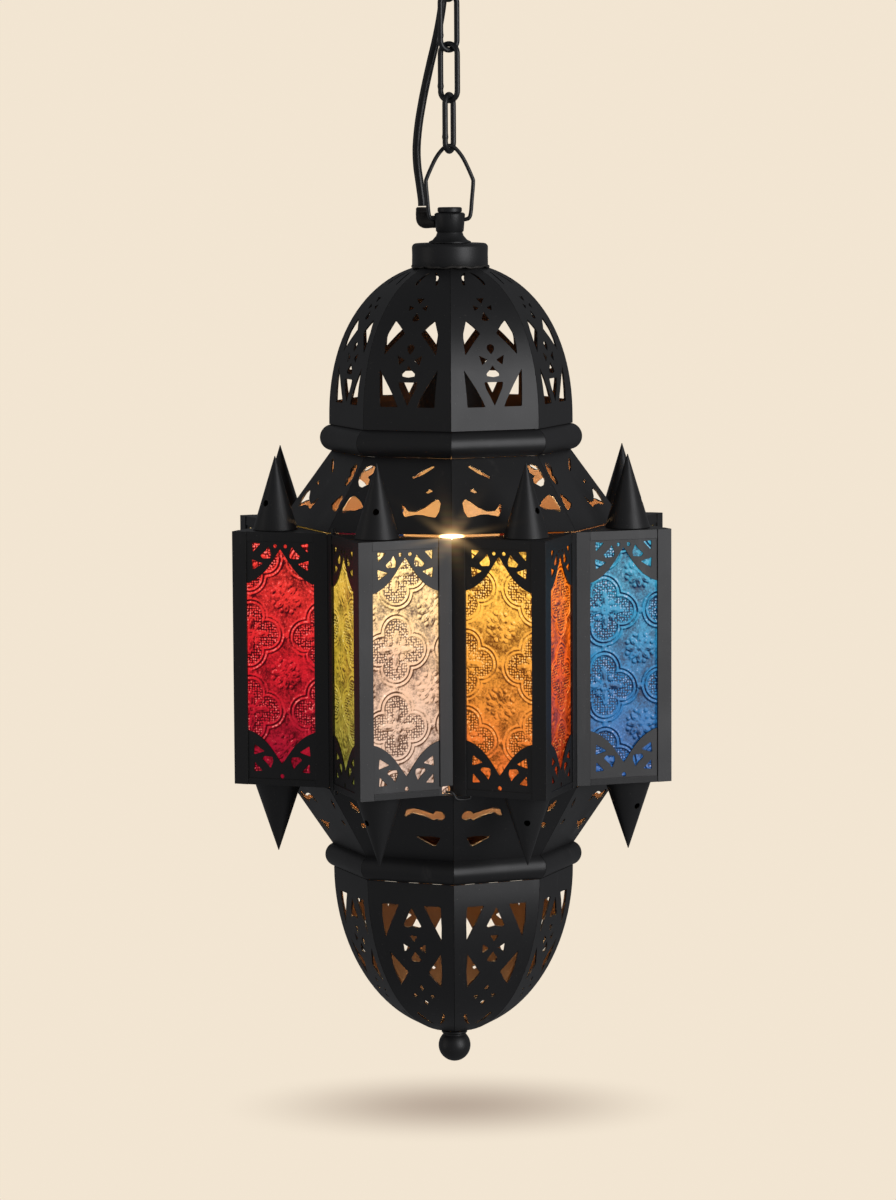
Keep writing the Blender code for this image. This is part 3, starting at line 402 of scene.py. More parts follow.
def pressed_glass(colour):
    """Pressed glass with its backlight painted into the emission: it glows most near the lamp, with painted shade in
    the pattern's hollows and painted glints.
    """
    top, middle, foot, hollow_shade, glint = GLASS_COLOURS[colour]
    finish = Finish(
        f"{colour}_pressed_glass", roughness=0.2, specular_ior_level=0.22, coat_roughness=0.06,
        emission_strength=1.15,
    )
    where = finish.place()
    height = finish.node("ShaderNodeSeparateXYZ", [where], output=2)
    share = (height - STAR_FOOT) / STAR_HEIGHT
    cloud = finish.noise(where, 34, 3, 0.6)
    # Painted backlight: the glow runs from the foot colour to the top colour towards the lamp, broken up by noise.
    glow = finish.ramp(share + 0.34 * cloud - 0.17, (0.06, foot), (0.5, middle), (0.95, top))

    def pattern(channel):
        colours = finish.node("ShaderNodeAttribute", output="Color", attribute_name="pattern")
        return finish.node("ShaderNodeSeparateColor", [colours], output=channel)

    # The relief channel is painted light and shade: the pattern's slopes as if lit from a fixed direction.
    ridge, lobe, relief = pattern(0), pattern(1), pattern(2)
    cells = finish.node(
        "ShaderNodeTexVoronoi",
        {"Vector": finish.node("ShaderNodeUVMap", uv_map="UVMap"), "Scale": 1 / (1.55 * MM), "Randomness": 0.45},
        feature="F1",
        voronoi_dimensions="2D",
    )
    bead = 1 - finish.band(cells, 0.10, 0.55)
    sparkle = finish.noise(where, 760, 2, 0.7)
    swirl = finish.noise(where, 150, 4, 0.75)
    patch = finish.noise(where, 85, 2, 0.5)
    grain = lobe * (bead - 0.4) * 0.85 + (1 - lobe) * (swirl - 0.5) * 1.1
    # Painted light and shade of the relief, with the pattern's grain and random patches; where the tone is low the
    # painted hollow shade shows.
    tone = (0.5 + 2.3 * (relief - 0.5) + grain + 0.2 * ridge + 0.8 * (patch - 0.5) + 0.9 * (sparkle - 0.5)).clamped()
    body = finish.mix(finish.band(tone, 0.12, 0.80), hollow_shade, glow)
    # Painted glints: where sparkle noise and the painted relief light run high.
    shine = sparkle * 0.62 + relief * 0.42 + bead * lobe * 0.12 + swirl * 0.2 + share * 0.06
    finish.feed("Emission Color", finish.mix(finish.band(shine, 0.74, 0.90) * 0.8, body, glint))
    # The reflected base colour darkens with the same painted shade.
    finish.feed("Base Color", finish.mix(tone, tuple(0.2 * c for c in hollow_shade), tuple(0.25 * c for c in middle)))
    finish.feed("Coat Weight", 0.22 * sparkle)
    finish.bump(bead * lobe * 0.8 + swirl * 0.5 + sparkle * 0.3, 0.28 * MM, 0.9)
    return finish.material


def soldered_seam():
    """Tinned solder, blackened by its flux."""
    finish = Finish("soldered_seam", metallic=0.3, specular_ior_level=0.5)
    grime = finish.noise(finish.place(), 420, 4, 0.65)
    finish.feed("Base Color", finish.mix(grime, (0.012, 0.012, 0.012), (0.10, 0.09, 0.08)))
    finish.feed("Roughness", 0.3 + 0.4 * grime)
    finish.bump(grime, 0.2 * MM, 0.8)
    return finish.material


FINISHES = {
    maker.__name__: maker
    for maker in (
        painted_metal, warm_lit_inner_metal, cut_edge, lacquered_wire, cord_sheath, moulded_plastic, lit_bulb, soldered_seam,
    )
}
FINISHES.update({f"pressed_{colour}": partial(pressed_glass, colour) for colour in GLASS_COLOURS})


def finished(name):
    """The material of this name, made the first time it is wanted."""
    if name not in bpy.data.materials:
        FINISHES[name]().name = name
    return bpy.data.materials[name]


# ---------------------------------------------------------------- mesh tools


def add_piece(name, mesh, body, nodes, slot, *finishes):
    """Adds a mesh as a named piece that rides on a body and stands for its CAD nodes."""
    piece = bpy.data.objects.new(name, mesh)
    bpy.context.scene.collection.objects.link(piece)
    mesh.materials.clear()
    for finish in finishes:
        mesh.materials.append(finished(finish))
    if body:
        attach(piece, body)
    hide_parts(*nodes)
    return piece


def to_mesh(name, bm, angle=radians(40)):
    """Closes a bmesh into a smooth mesh whose corners and open rims stay sharp."""
    rims = [edge.is_boundary for edge in bm.edges]
    mesh = bpy.data.meshes.new(name)
    bm.to_mesh(mesh)
    bm.free()
    if angle:
        mesh.shade_smooth()
        mesh.set_sharp_from_angle(angle=angle)
        for edge, rim in zip(mesh.edges, rims):
            edge.use_edge_sharp = edge.use_edge_sharp or rim
    return mesh


def solidify(piece, thickness):
    """Thickens a sheet inwards. Its inner face and its rim take the second and third finish."""
    shell = piece.modifiers.new("sheet", "SOLIDIFY")
    shell.thickness = thickness
    shell.offset = -1
    shell.use_even_offset = True
    shell.material_offset = 1
    shell.material_offset_rim = 2
    return shell


def soften(piece, width, segments=2):
    edge = piece.modifiers.new("soft_edge", "BEVEL")
    edge.width = width
    edge.segments = segments
    edge.limit_method = "ANGLE"
    edge.angle_limit = radians(40)
    edge.harden_normals = True


def arc(centre, radius, start, end, steps):
    """Points on an arc, both ends included. Angles are in degrees."""
    turn = [radians(start + (end - start) * n / steps) for n in range(steps + 1)]
    return [(centre[0] + radius * cos(a), centre[1] + radius * sin(a)) for a in turn]


def flowing(points, steps=8, closed=False):
    """A smooth curve through these points, of any dimension."""
    points = [Vector(point) for point in points]
    if closed:
        ends = [points[-1], *points, points[0], points[1]]
    else:
        ends = [2 * points[0] - points[1], *points, 2 * points[-1] - points[-2]]
    found = []
    for before, start, end, after in zip(ends, ends[1:], ends[2:], ends[3:]):
        for n in range(steps):
            t = n / steps
            found.append(
                0.5
                * (
                    2 * start
                    + (end - before) * t
                    + (2 * before - 5 * start + 4 * end - after) * t**2
                    + (3 * start - before - 3 * end + after) * t**3
                )
            )
    return found if closed else [*found, points[-1]]


def even(points, spacing):
    """The same line with its points about this far apart."""
    runs = [0.0]
    for a, b in zip(points, points[1:]):
        runs.append(runs[-1] + (b - a).length)
    count = max(2, round(runs[-1] / spacing))
    wanted = np.linspace(0, runs[-1], count + 1)
    axes = [np.interp(wanted, runs, [point[n] for point in points]) for n in range(len(points[0]))]
    return [Vector(point) for point in zip(*axes)]


def swept(points, radius, steps=14, closed=False, swell=None):
    """A round tube along these points. swell gives the radius's share at each place from 0 to 1."""
    bm = bmesh.new()
    count = len(points)
    side = None
    rings = []
    for n, point in enumerate(points):
        if closed:
            along = points[(n + 1) % count] - points[n - 1]
        else:
            along = points[min(n + 1, count - 1)] - points[max(n - 1, 0)]
        along.normalize()
        if side is None:
            side = along.orthogonal().normalized()
        side = (side - along * side.dot(along)).normalized()
        up = along.cross(side)
        size = radius * (swell(n / (count - 1)) if swell else 1)
        rings.append(
            [
                bm.verts.new(point + size * (cos(a) * side + sin(a) * up))
                for a in (2 * pi * k / steps for k in range(steps))
            ]
        )
    if closed:  # the last ring meets the first where their sides differ least
        first = rings[0]
        shift = min(
            range(steps), key=lambda s: (first[s].co - points[0] - rings[-1][0].co + points[-1]).length
        )
        rings.append([first[(k + shift) % steps] for k in range(steps)])
    for one, two in zip(rings, rings[1:]):
        for k in range(steps):
            bm.faces.new((one[k - 1], one[k], two[k], two[k - 1]))
    if not closed:
        bm.faces.new(list(reversed(rings[0])))
        bm.faces.new(rings[-1])
    bmesh.ops.recalc_face_normals(bm, faces=bm.faces)
    return bm


def turned(profile, steps=64):
    """A turned solid from (radius, height) pairs that run down its outer side. Pairs on the axis close it."""
    bm = bmesh.new()
    rings = []
    for radius, height in profile:
        if radius < 1e-7:
            rings.append([bm.verts.new((0, 0, height))] * steps)
        else:
            rings.append(
                [
                    bm.verts.new((radius * cos(2 * pi * k / steps), radius * sin(2 * pi * k / steps), height))
                    for k in range(steps)
                ]
            )
    if profile[0][0] > 1e-7:
        rings.append(rings[0])
    for one, two in zip(rings, rings[1:]):
        for k in range(steps):
            corners = dict.fromkeys((one[k - 1], one[k], two[k], two[k - 1]))
            if len(corners) > 2:
                bm.faces.new(corners)
    bmesh.ops.recalc_face_normals(bm, faces=bm.faces)
    return bm


def polar(radius, azimuth, height):
    """A point at this azimuth, which is 0 at the front and grows towards the right."""
    return Vector((radius * sin(azimuth), -radius * cos(azimuth), height))


def in_mm(*loops):
    return [[(x * MM, y * MM) for x, y in loop] for loop in loops]


def mirrored(loops):
    """These loops and their mirror images across x = 0."""
    return [*loops, *([(-x, y) for x, y in reversed(loop)] for loop in loops)]


def rounded(loop, radius, steps=3):
    """A loop with its corners rounded."""
    found = []
    for n, corner in enumerate(loop):
        before, after = Vector(loop[n - 1]), Vector(loop[(n + 1) % len(loop)])
        corner = Vector(corner)
        reach = min(radius, 0.4 * (before - corner).length, 0.4 * (after - corner).length)
        start = corner + (before - corner).normalized() * reach
        end = corner + (after - corner).normalized() * reach
        for k in range(steps + 1):
            t = k / steps
            found.append(tuple((1 - t) ** 2 * start + 2 * t * (1 - t) * corner + t**2 * end))
    return found


def filled(loops):
    """A flat mesh in x and y, with the first loop as its outline and the others as holes."""
    bm = bmesh.new()
    for loop in loops:
        corners = [bm.verts.new((x, y, 0)) for x, y in loop]
        for n, corner in enumerate(corners):
            bm.edges.new((corner, corners[n - 1]))
    bmesh.ops.triangle_fill(bm, use_beauty=True, use_dissolve=False, edges=bm.edges[:])
    for face in bm.faces:
        if face.normal.z < 0:
            face.normal_flip()
    return bm


def cut_rows(bm, heights, normal=(0, 1, 0)):
    """Splits a flat mesh along parallel lines, so that it can be bent there."""
    for height in heights:
        bmesh.ops.bisect_plane(
            bm,
            geom=[*bm.verts, *bm.edges, *bm.faces],
            plane_co=Vector(normal) * height,
            plane_no=normal,
            dist=1e-7,
        )


def panel_shell(profile, holes, alternate=False, bow=0.0):
    """Eight pierced panels, bent to a profile of (corner radius, height) pairs that runs from the foot up.

    Each panel is laid flat, with x across it and y along its middle line. Open seams part the panels.
    With alternate, every second panel is the mirror image of the first.
    """
    seam = metal().seam
    flat = [(radius * cos(HALF_SIDE), height) for radius, height in profile]
    rows = [0.0]
    for (a, foot), (b, head) in zip(flat, flat[1:]):
        rows.append(rows[-1] + hypot(b - a, head - foot))
    half_widths = [radius * sin(HALF_SIDE) - seam / 2 for radius, _ in profile]
    right = list(zip(half_widths, rows))
    outline = [*right, *((-x, y) for x, y in reversed(right))]
    panel = filled([outline, *holes])
    cut_rows(panel, rows[1:-1])
    for vertex in panel.verts:
        y = vertex.co.y
        radius = np.interp(y, rows, [r for r, _ in flat])
        height = np.interp(y, rows, [h for _, h in flat])
        half = np.interp(y, rows, half_widths)
        crown = bow * (1 - (vertex.co.x / half) ** 2) * sin(pi * y / rows[-1])
        vertex.co = (vertex.co.x, -radius - crown, height)
    one = bpy.data.meshes.new("panel")
    panel.to_mesh(one)
    panel.free()
    sheet = bmesh.new()
    for side in range(SIDES):
        turn = Matrix.Rotation((2 * side + 1) * HALF_SIDE, 4, "Z")
        if alternate and side % 2:
            turn = turn @ Matrix.Scale(-1, 4, (1, 0, 0))
        copy = one.copy()
        copy.transform(turn)
        if turn.determinant() < 0:
            copy.flip_normals()
        sheet.from_mesh(copy)
        bpy.data.meshes.remove(copy)
    bpy.data.meshes.remove(one)
    if sum(face.normal.dot(Vector((face.calc_center_median().x, face.calc_center_median().y, 0))) for face in sheet.faces) < 0:
        bmesh.ops.reverse_faces(sheet, faces=sheet.faces)
    return sheet


def merge(bm, part, matrix=None):
    """Adds a part to a bmesh, moved by a matrix."""
    mesh = bpy.data.meshes.new("part")
    part.to_mesh(mesh)
    part.free()
    if matrix:
        mesh.transform(matrix)
        if matrix.determinant() < 0:
            mesh.flip_normals()
    bm.from_mesh(mesh)
    bpy.data.meshes.remove(mesh)


def carve(piece, cutters):
    """Cuts solids out of a piece for good."""
    tool_mesh = to_mesh("cutter", cutters, angle=None)
    tool = bpy.data.objects.new("cutter", tool_mesh)
    bpy.context.scene.collection.objects.link(tool)
    cut = piece.modifiers.new("cut", "BOOLEAN")
    cut.object = tool
    cut.solver = "EXACT"
    graph = bpy.context.evaluated_depsgraph_get()
    graph.update()
    whole = piece.data
    piece.data = bpy.data.meshes.new_from_object(piece.evaluated_get(graph))
    piece.data.name = piece.name
    piece.modifiers.clear()
    bpy.data.meshes.remove(whole)
    bpy.data.objects.remove(tool)
    bpy.data.meshes.remove(tool_mesh)
    piece.data.set_sharp_from_angle(angle=radians(40))


def prism(plan, foot, top):
    """A closed upright solid over a plan outline."""
    bm = bmesh.new()
    below = [bm.verts.new((x, y, foot)) for x, y in plan]
    above = [bm.verts.new((x, y, top)) for x, y in plan]
    bm.faces.new(list(reversed(below)))
    bm.faces.new(above)
    for n in range(len(plan)):
        bm.faces.new((below[n - 1], below[n], above[n], above[n - 1]))
    bmesh.ops.recalc_face_normals(bm, faces=bm.faces)
    return bm


def rod(radius, top, foot, at=(0, 0), steps=32):
    return prism([(at[0] + x, at[1] + y) for x, y in arc((0, 0), radius, 0, 360, steps)[:-1]], foot, top)


def upright(points, turn=0.0):
    """(across, height) pairs as points in a vertical plane turned about the axis."""
    return [Vector((x * cos(turn), x * sin(turn), z)) for x, z in points]


# ---------------------------------------------------------------- ceiling fitting, chain and bail

CHAIN_WIRE = 3.5 * MM
LINK_WIDTH = 15 * MM
LINK_TURNS = (radians(32), radians(-30), radians(65))
HOOK_TURN = radians(-58)
HOOK_EYE = 6.5 * MM
BAIL_WIRE = 2.4 * MM
BAIL_HALF_WIDTH = 14.1 * MM
HUB_RADIUS = 9.2 * MM
GLAND_TURN = radians(140)
CORD_DIAMETER = 5 * MM


def make_canopy():
    """A spun cup on a crossbar, with a bushed hole for the cord and a nut on the hook's stem."""
    radius, depth, wall = high("ceiling_canopy", 0), -low("ceiling_canopy"), 1.5 * MM
    curve = [(1, 0.35), (0.88, 0.66), (0.62, 0.9), (0.4, 1)]
    outer = flowing([(radius * x, -depth * y) for x, y in curve], 10)
    inner = flowing([(radius * x - wall, -(depth - wall) * y) for x, y in curve], 10)
    rim = [(radius + 0.5 * MM, -1.2 * MM), (radius + 0.5 * MM, 0)]
    profile = [
        *rim[::-1], (radius, -2.2 * MM), *outer, (0, -depth), (0, wall - depth), *reversed(inner), (radius - wall, 0),
    ]
    cup_mesh = to_mesh("canopy_cup", turned(profile, 96))
    cup = add_piece("canopy_cup", cup_mesh, "ceiling", ["ceiling_canopy"], "black_metal", "painted_metal")
    entry = CORD_ROUTE[-1][:2]
    holes = rod(CHAIN_WIRE / 2 + 0.35 * MM, 4 * wall - depth, -depth - wall)
    merge(holes, rod(CORD_DIAMETER / 2 + 0.9 * MM, 4 * wall - depth, -depth - wall, entry))
    carve(cup, holes)
    bush = turned(
        [
            (2.55 * MM, 2 * wall), (4 * MM, 2 * wall), (3.4 * MM, wall), (3.4 * MM, 0),
            (4.6 * MM, -0.3 * MM), (4.2 * MM, -1.5 * MM), (2.55 * MM, -1.9 * MM),
        ],
        40,
    )
    bush.transform(Matrix.Translation((*entry, -depth)))
    add_piece("cord_bush", to_mesh("cord_bush", bush), "ceiling", ["ceiling_canopy"], "black_plastic", "moulded_plastic")

    half_bar, reach = 7 * MM, radius - wall
    plan = [(-half_bar, -reach), (half_bar, -reach), (half_bar, reach), (-half_bar, reach)]
    bar = prism(rounded(plan, 5 * MM, 6), -2 * MM, 0)
    crossbar = add_piece("crossbar", to_mesh("crossbar", bar), "ceiling", ["ceiling_canopy"], "black_metal", "painted_metal")
    slots = bmesh.new()
    for side in (-1, 1):
        middle = side * 0.62 * radius
        corners = [(x * 2.2 * MM, middle + y * 7 * MM) for x, y in ((-1, -1), (1, -1), (1, 1), (-1, 1))]
        merge(slots, prism(rounded(corners, 2.2 * MM, 5), -4 * MM, 2 * MM))
    carve(crossbar, slots)
    soften(crossbar, 0.3 * MM)
    nut = prism([(x, y) for x, y in arc((0, 0), 4.2 * MM, 0, 360, 6)[:-1]], -depth - 2.6 * MM, -depth - 0.15 * MM)
    stem_nut = add_piece("stem_nut", to_mesh("stem_nut", nut), "ceiling", ["ceiling_canopy"], "black_metal", "lacquered_wire")
    carve(stem_nut, rod(CHAIN_WIRE / 2 + 0.1 * MM, 0, -depth - 5 * MM))
    soften(stem_nut, 0.25 * MM)


def make_hook():
    """A stem that ends in an eye, with a narrow mouth the chain was threaded through."""
    eye = low("ceiling_hook") + CHAIN_WIRE / 2 + HOOK_EYE
    turn = arc((0, eye), HOOK_EYE, 52, -225, 48)
    stem = flowing([(0, high("ceiling_hook")), (0, low("ceiling_canopy")), (0, eye + 1.9 * HOOK_EYE), turn[0]], 10)
    line = even(upright([*stem[:-1], *turn], HOOK_TURN), 0.8 * MM)

    def tip(share):
        return min(1.0, sqrt(max(0.02, (1 - share) * 55)))

    hook = swept(line, CHAIN_WIRE / 2, 20, swell=tip)
    add_piece("ceiling_hook_wire", to_mesh("hook", hook), "ceiling", ["ceiling_hook"], "black_metal", "lacquered_wire")


def make_link(number, turn):
    """An oval of wire, closed by a weld on one limb."""
    node = f"chain_link_{number}"
    bend = (LINK_WIDTH - CHAIN_WIRE) / 2
    crown, heel = high(node) - LINK_WIDTH / 2, low(node) + LINK_WIDTH / 2
    oval = [*arc((0, crown), bend, 0, 180, 24), *arc((0, heel), bend, 180, 360, 24)]
    line = even(upright([*oval, oval[0]], turn), 0.8 * MM)[:-1]
    weld = 0.47

    def swell(share):
        return 1 + 0.16 * exp(-(((share - weld) / 0.014) ** 2)) - 0.07 * exp(-(((share - weld - 0.026) / 0.01) ** 2))

    link = swept(line, CHAIN_WIRE / 2 - 0.08 * MM, 20, closed=True, swell=swell)
    add_piece(f"link_{number}_wire", to_mesh(node, link), f"link_{number}", [node], "black_metal", "lacquered_wire")


def make_bail():
    """A bent wire whose two feet turn inwards into the hub."""
    wide, top = BAIL_HALF_WIDTH, high("hanging_bail") - BAIL_WIRE / 2
    shoulder = PIVOT + 21.5 * MM
    half = [
        (0.65 * HUB_RADIUS, PIVOT),
        (HUB_RADIUS, PIVOT),
        (wide - 2.6 * MM, PIVOT + 0.9 * MM),
        (wide - 1.5 * MM, PIVOT + 4 * MM),
        (wide - 0.8 * MM, PIVOT + 12 * MM),
        (wide, shoulder),
        (wide - 0.6 * MM, shoulder + 3.5 * MM),
        (0.58 * wide, top - 7.5 * MM),
        (0.23 * wide, top - 1.3 * MM),
        (0, top),
    ]
    shape = flowing([*half, *((-x, z) for x, z in reversed(half[:-1]))], 8)
    bail = swept(even(upright(shape), 0.7 * MM), BAIL_WIRE / 2, 18)
    add_piece("bail_wire", to_mesh("bail", bail), "bail", ["hanging_bail"], "black_metal", "lacquered_wire")


# ---------------------------------------------------------------- hub, gland, cord and collar


def make_hub():
    """A turned knob with bores for the bail, its disc screwed down on top."""
    top, foot = high("hanger_hub"), low("hanger_hub")
    disc, barrel = 7.3 * MM, HUB_RADIUS
    profile = [
        (0, top),
        (disc - 0.6 * MM, top),
        (disc, top - 0.6 * MM),
        (disc, top - 2.5 * MM),
        (disc - 0.6 * MM, top - 3.0 * MM),
        (barrel - 0.9 * MM, top - 3.3 * MM),
        (barrel, top - 4.1 * MM),
        (barrel - 0.9 * MM, top - 14.2 * MM),
        (barrel - 1.6 * MM, top - 14.9 * MM),
        (barrel - 0.9 * MM, top - 17.0 * MM),
        (barrel + 1.2 * MM, top - 19.4 * MM),
        (12.6 * MM, foot + 0.7 * MM),
        (12.6 * MM, foot),
        (5.35 * MM, foot),
        (5.35 * MM, foot + 7.8 * MM),
        (0, foot + 7.8 * MM),
    ]
    hub = add_piece("hub_body", to_mesh("hub", turned(profile, 64)), "lantern", ["hanger_hub"], "black_metal", "painted_metal")
    bore = rod(BAIL_WIRE / 2 + 0.35 * MM, 20 * MM, -20 * MM)
    bore.transform(Matrix.Translation((0, 0, PIVOT)) @ Matrix.Rotation(pi / 2, 4, "Y"))
    near, far = 0.35 * MM - barrel, -barrel - MM
    lap_plan = [(0.2 * MM, near), (0.5 * MM, near), (0.5 * MM, far), (0.2 * MM, far)]
    lap = prism(lap_plan, foot + 6 * MM, top - 4 * MM)
    merge(bore, lap)
    carve(hub, bore)
    soften(hub, 0.15 * MM)


def make_gland():
    """An elbow of moulded plastic from the hub's side up round the cord."""
    out = Vector((cos(GLAND_TURN), sin(GLAND_TURN), 0))
    level, reach = PIVOT - 1.5 * MM, 21.5 * MM
    up = Vector((0, 0, 1))
    route = [
        out * (HUB_RADIUS + GAP) + up * level,
        out * (HUB_RADIUS + 3 * MM) + up * level,
        out * (reach - 4.5 * MM) + up * level,
        out * (reach - 1.2 * MM) + up * (level + 0.9 * MM),
        out * reach + up * (level + 3.8 * MM),
        out * reach + up * (high("cord_gland") - 0.4 * MM),
    ]

    def ribs(share):
        rib = 0.05 if share > 0.74 and int(share * 46) % 2 else 0
        return 1.0 + 0.20 * exp(-(((share - 0.55) / 0.17) ** 2)) + rib - 0.12 * (share > 0.97)

    gland = swept(even(flowing(route), 0.35 * MM), 3.7 * MM, 28, swell=ribs)
    add_piece("gland_elbow", to_mesh("gland", gland), "lantern", ["cord_gland"], "black_plastic", "moulded_plastic")


def make_cord():
    """The supply cord in stretches along its route beside the chain."""
    line = even(flowing(CORD_ROUTE, 12), 0.25 * MM)
    for name, top, foot, upper, lower, start, end in reversed(CORD_STRETCHES):
        inside = [p for p in line if p.z <= top * MM and (foot is None or p.z >= foot * MM)]
        if foot is not None:
            inside.insert(0, next(p for p in reversed(line) if p.z < foot * MM))
        path = even(inside, 1.6 * MM)
        cord = add_piece(name, to_mesh(name, swept(path, CORD_DIAMETER / 2, 24)), None, ["supply_cord"], "black_plastic", "cord_sheath")
        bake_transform(cord)


def make_collar():
    """A spun cap with a rounded shoulder, soft-soldered to the dome below it."""
    top, foot, radius = high("top_collar"), low("top_collar"), high("top_collar", 0)
    wall, bend, hole = 1.5 * MM, 2.5 * MM, 5.35 * MM
    profile = [
        (hole, top),
        *arc((radius - bend, top - bend), bend, 90, 0, 8),
        (radius - 0.12 * MM, top - 6.5 * MM),
        (radius, foot + 0.4 * MM),
        (radius - 0.3 * MM, foot),
        (radius - wall, foot),
        (radius - wall, top - bend),
        (radius - bend, top - wall),
        (hole, top - wall),
    ]
    add_piece("collar_cap", to_mesh("collar", turned(profile, 96)), "lantern", ["top_collar"], "black_metal", "painted_metal")
    ring = [
        polar(radius - 0.35 * MM + 0.25 * MM * sin(5.3 * a), a, foot + (0.3 * sin(7 * a) + 0.22 * sin(17 * a + 1)) * MM)
        for a in (2 * pi * n / 160 for n in range(160))
    ]

    def lumps(share):
        return 1 + 0.28 * sin(2 * pi * 9 * share) + 0.22 * sin(2 * pi * 23 * share + 2)

    solder = swept(ring, 0.75 * MM, 10, closed=True, swell=lumps)
    add_piece("collar_solder", to_mesh("solder", solder), "lantern", ["top_collar"], "black_metal", "soldered_seam")


# ---------------------------------------------------------------- lamp


def make_lampholder():
    """A threaded nipple, a flange under the dome's top and a ribbed socket that is open below."""
    foot, top = low("lampholder"), high("lampholder")
    shoulder, flange = foot + 48 * MM, foot + 101 * MM
    nipple, socket, inner = 5 * MM, 19 * MM, 16.5 * MM
    thread = [(nipple - 0.35 * MM * (n % 2), top - n * 0.45 * MM) for n in range(1, 16)]
    grips = [(socket - 0.5 * MM * (n % 2), shoulder - 13 * MM - n * 1.6 * MM) for n in range(14)]
    profile = [
        (0, top),
        (nipple - 0.5 * MM, top),
        *thread,
        (nipple, flange),
        (20.6 * MM, flange),
        (21 * MM, flange - 0.5 * MM),
        (20.6 * MM, flange - 2 * MM),
        (nipple, flange - 2 * MM),
        (nipple, shoulder),
        (13.2 * MM, shoulder),
        (14.6 * MM, shoulder - 0.9 * MM),
        (socket, shoulder - 10 * MM),
        *grips,
        (socket, foot + 3 * MM),
        (socket + 0.4 * MM, foot + 2 * MM),
        (socket, foot),
        (inner, foot),
        (inner, high("bulb") + GAP),
        (0, high("bulb") + GAP),
    ]
    add_piece("lampholder_body", to_mesh("lampholder", turned(profile, 72)), "lantern", ["lampholder"], "holder_plastic", "moulded_plastic")


def make_bulb():
    """A frosted bulb, pushed up into its holder, with its lamp on."""
    top, tip, radius = high("bulb"), low("bulb"), high("bulb", 0)
    neck = 13 * MM
    glass_line = flowing([(neck, top - 30 * MM), (neck + 1.4 * MM, top - 36 * MM), (neck + 6 * MM, top - 46 * MM), arc((0, tip + radius), radius, 36, 0, 1)[0]], 8)
    profile = [(0, top), (neck - MM, top), (neck, top - MM), *glass_line[:-1], *arc((0, tip + radius), radius, 36, -88, 28), (0, tip)]
    add_piece("bulb_glass_body", to_mesh("bulb", turned(profile, 64)), "lantern", ["bulb"], "bulb_glass", "lit_bulb")


# ---------------------------------------------------------------- pierced domes, rings and flares

# Holes in a dome's panel, in millimetres: x from its middle line, y up from its foot. They are mirrored.
UPPER_DOME_SIDE_HOLES = (
    ((18.5, 31.5), (17.4, 10.5), (5.9, 10.5), (8.2, 15.2), (12.0, 21.6)),
    ((8.0, 39.5), (2.7, 36.7), (6.5, 33.7)),
    ((12.5, 60), (9.2, 56.8), (5, 52), (10.4, 46.4), (16.5, 39.5), (16.8, 45), (15.9, 52)),
    ((5.9, 69.9), (2.2, 68.1), (5.6, 66.0)),
    ((1.1, 97.2), (2.2, 97.4), (5.2, 93), (7.2, 87), (7.1, 84.6), (5.9, 84.7), (5.2, 88), (3.4, 92.6)),
)
UPPER_DOME_MIDDLE_HOLES = (
    ((-6, 24.3), (6, 24.3), (5.3, 21), (0, 11), (-5.3, 21)),
    ((0, 33.8), (-1.6, 31.3), (-4.2, 29), (-4, 27.7), (0, 27), (4, 27.7), (4.2, 29), (1.6, 31.3)),
    ((0, 39.7), (2.1, 42.3), (2.45, 44.2), (1.5, 45.4), (0, 45.7), (-1.5, 45.4), (-2.45, 44.2), (-2.1, 42.3)),
    ((-2.6, 74.6), (2.6, 74.6), (0, 70.7)),
    ((0, 65.3), (2.5, 60.8), (1.3, 59.5), (-1.3, 59.5), (-2.5, 60.8)),
)
# The same for the lower dome, with y measured down from its top edge
LOWER_DOME_SIDE_HOLES = (
    ((19, 11), (8, 11), (13.3, 21.5), (18, 31.7), (19.2, 20)),
    ((7.2, 34.8), (2.8, 37.6), (7.0, 40.2)),
    ((16.5, 40.3), (11.2, 47.5), (6.5, 53.5), (9.6, 58.6), (13, 63.2), (15.6, 52)),
    ((7.4, 71), (5.6, 69.6), (3.8, 71), (5.6, 72.6)),
    ((1.7, 99.5), (2.6, 99.4), (6.3, 94.5), (9.0, 88), (8.8, 86.5), (7.8, 86.7), (6.2, 90.6), (4.0, 95.2)),
)
LOWER_DOME_MIDDLE_HOLES = (
    ((0, 12.3), (5.8, 23.4), (4.6, 24.4), (0, 23.6), (-4.6, 24.4), (-5.8, 23.4)),
    ((-2.6, 29.5), (2.6, 29.5), (0, 33.6)),
    ((0, 39.7), (1.5, 42), (3.4, 44.4), (2.4, 46.3), (0, 46.6), (-2.4, 46.3), (-3.4, 44.4), (-1.5, 42)),
    ((0, 62.6), (1.7, 65.2), (0, 66.8), (-1.7, 65.2)),
    ((0, 74.6), (1.6, 76.6), (0, 79), (-1.6, 76.6)),
)
# Holes in a flare's panel, with y up from its foot. Every second panel mirrors the first.
UPPER_FLARE_HOLES = (
    ((-18.3, 45.5), (-17.2, 46.6), (-11, 42.6), (-5.6, 38.2), (-6.4, 37.2), (-12.4, 40.4)),
    ((-21, 29.4), (-18.5, 31), (-16, 28.5), (-18.4, 27.9)),
    ((-25, 24.5), (-27.6, 21.5), (-27.8, 16), (-26.5, 12), (-22, 12.5), (-18, 13.5), (-13.5, 13.5), (-7, 11.8), (-4.4, 15.4), (-3.3, 20.4), (-8, 15.9), (-13, 15.6), (-18, 18.6), (-22, 22.6)),
    ((17.5, 42), (19.4, 45), (22, 46), (25.2, 44), (27.2, 40), (28.2, 35), (26.8, 31.6), (24.5, 30.5), (21, 33), (20.8, 36.2), (22.6, 37.6), (20.6, 39.2)),
    ((20.5, 17.5), (24, 22), (28, 25), (30.4, 23.6), (31.8, 20.5), (33.6, 15.4), (32.8, 13.2), (29, 14.4), (25, 15)),
)
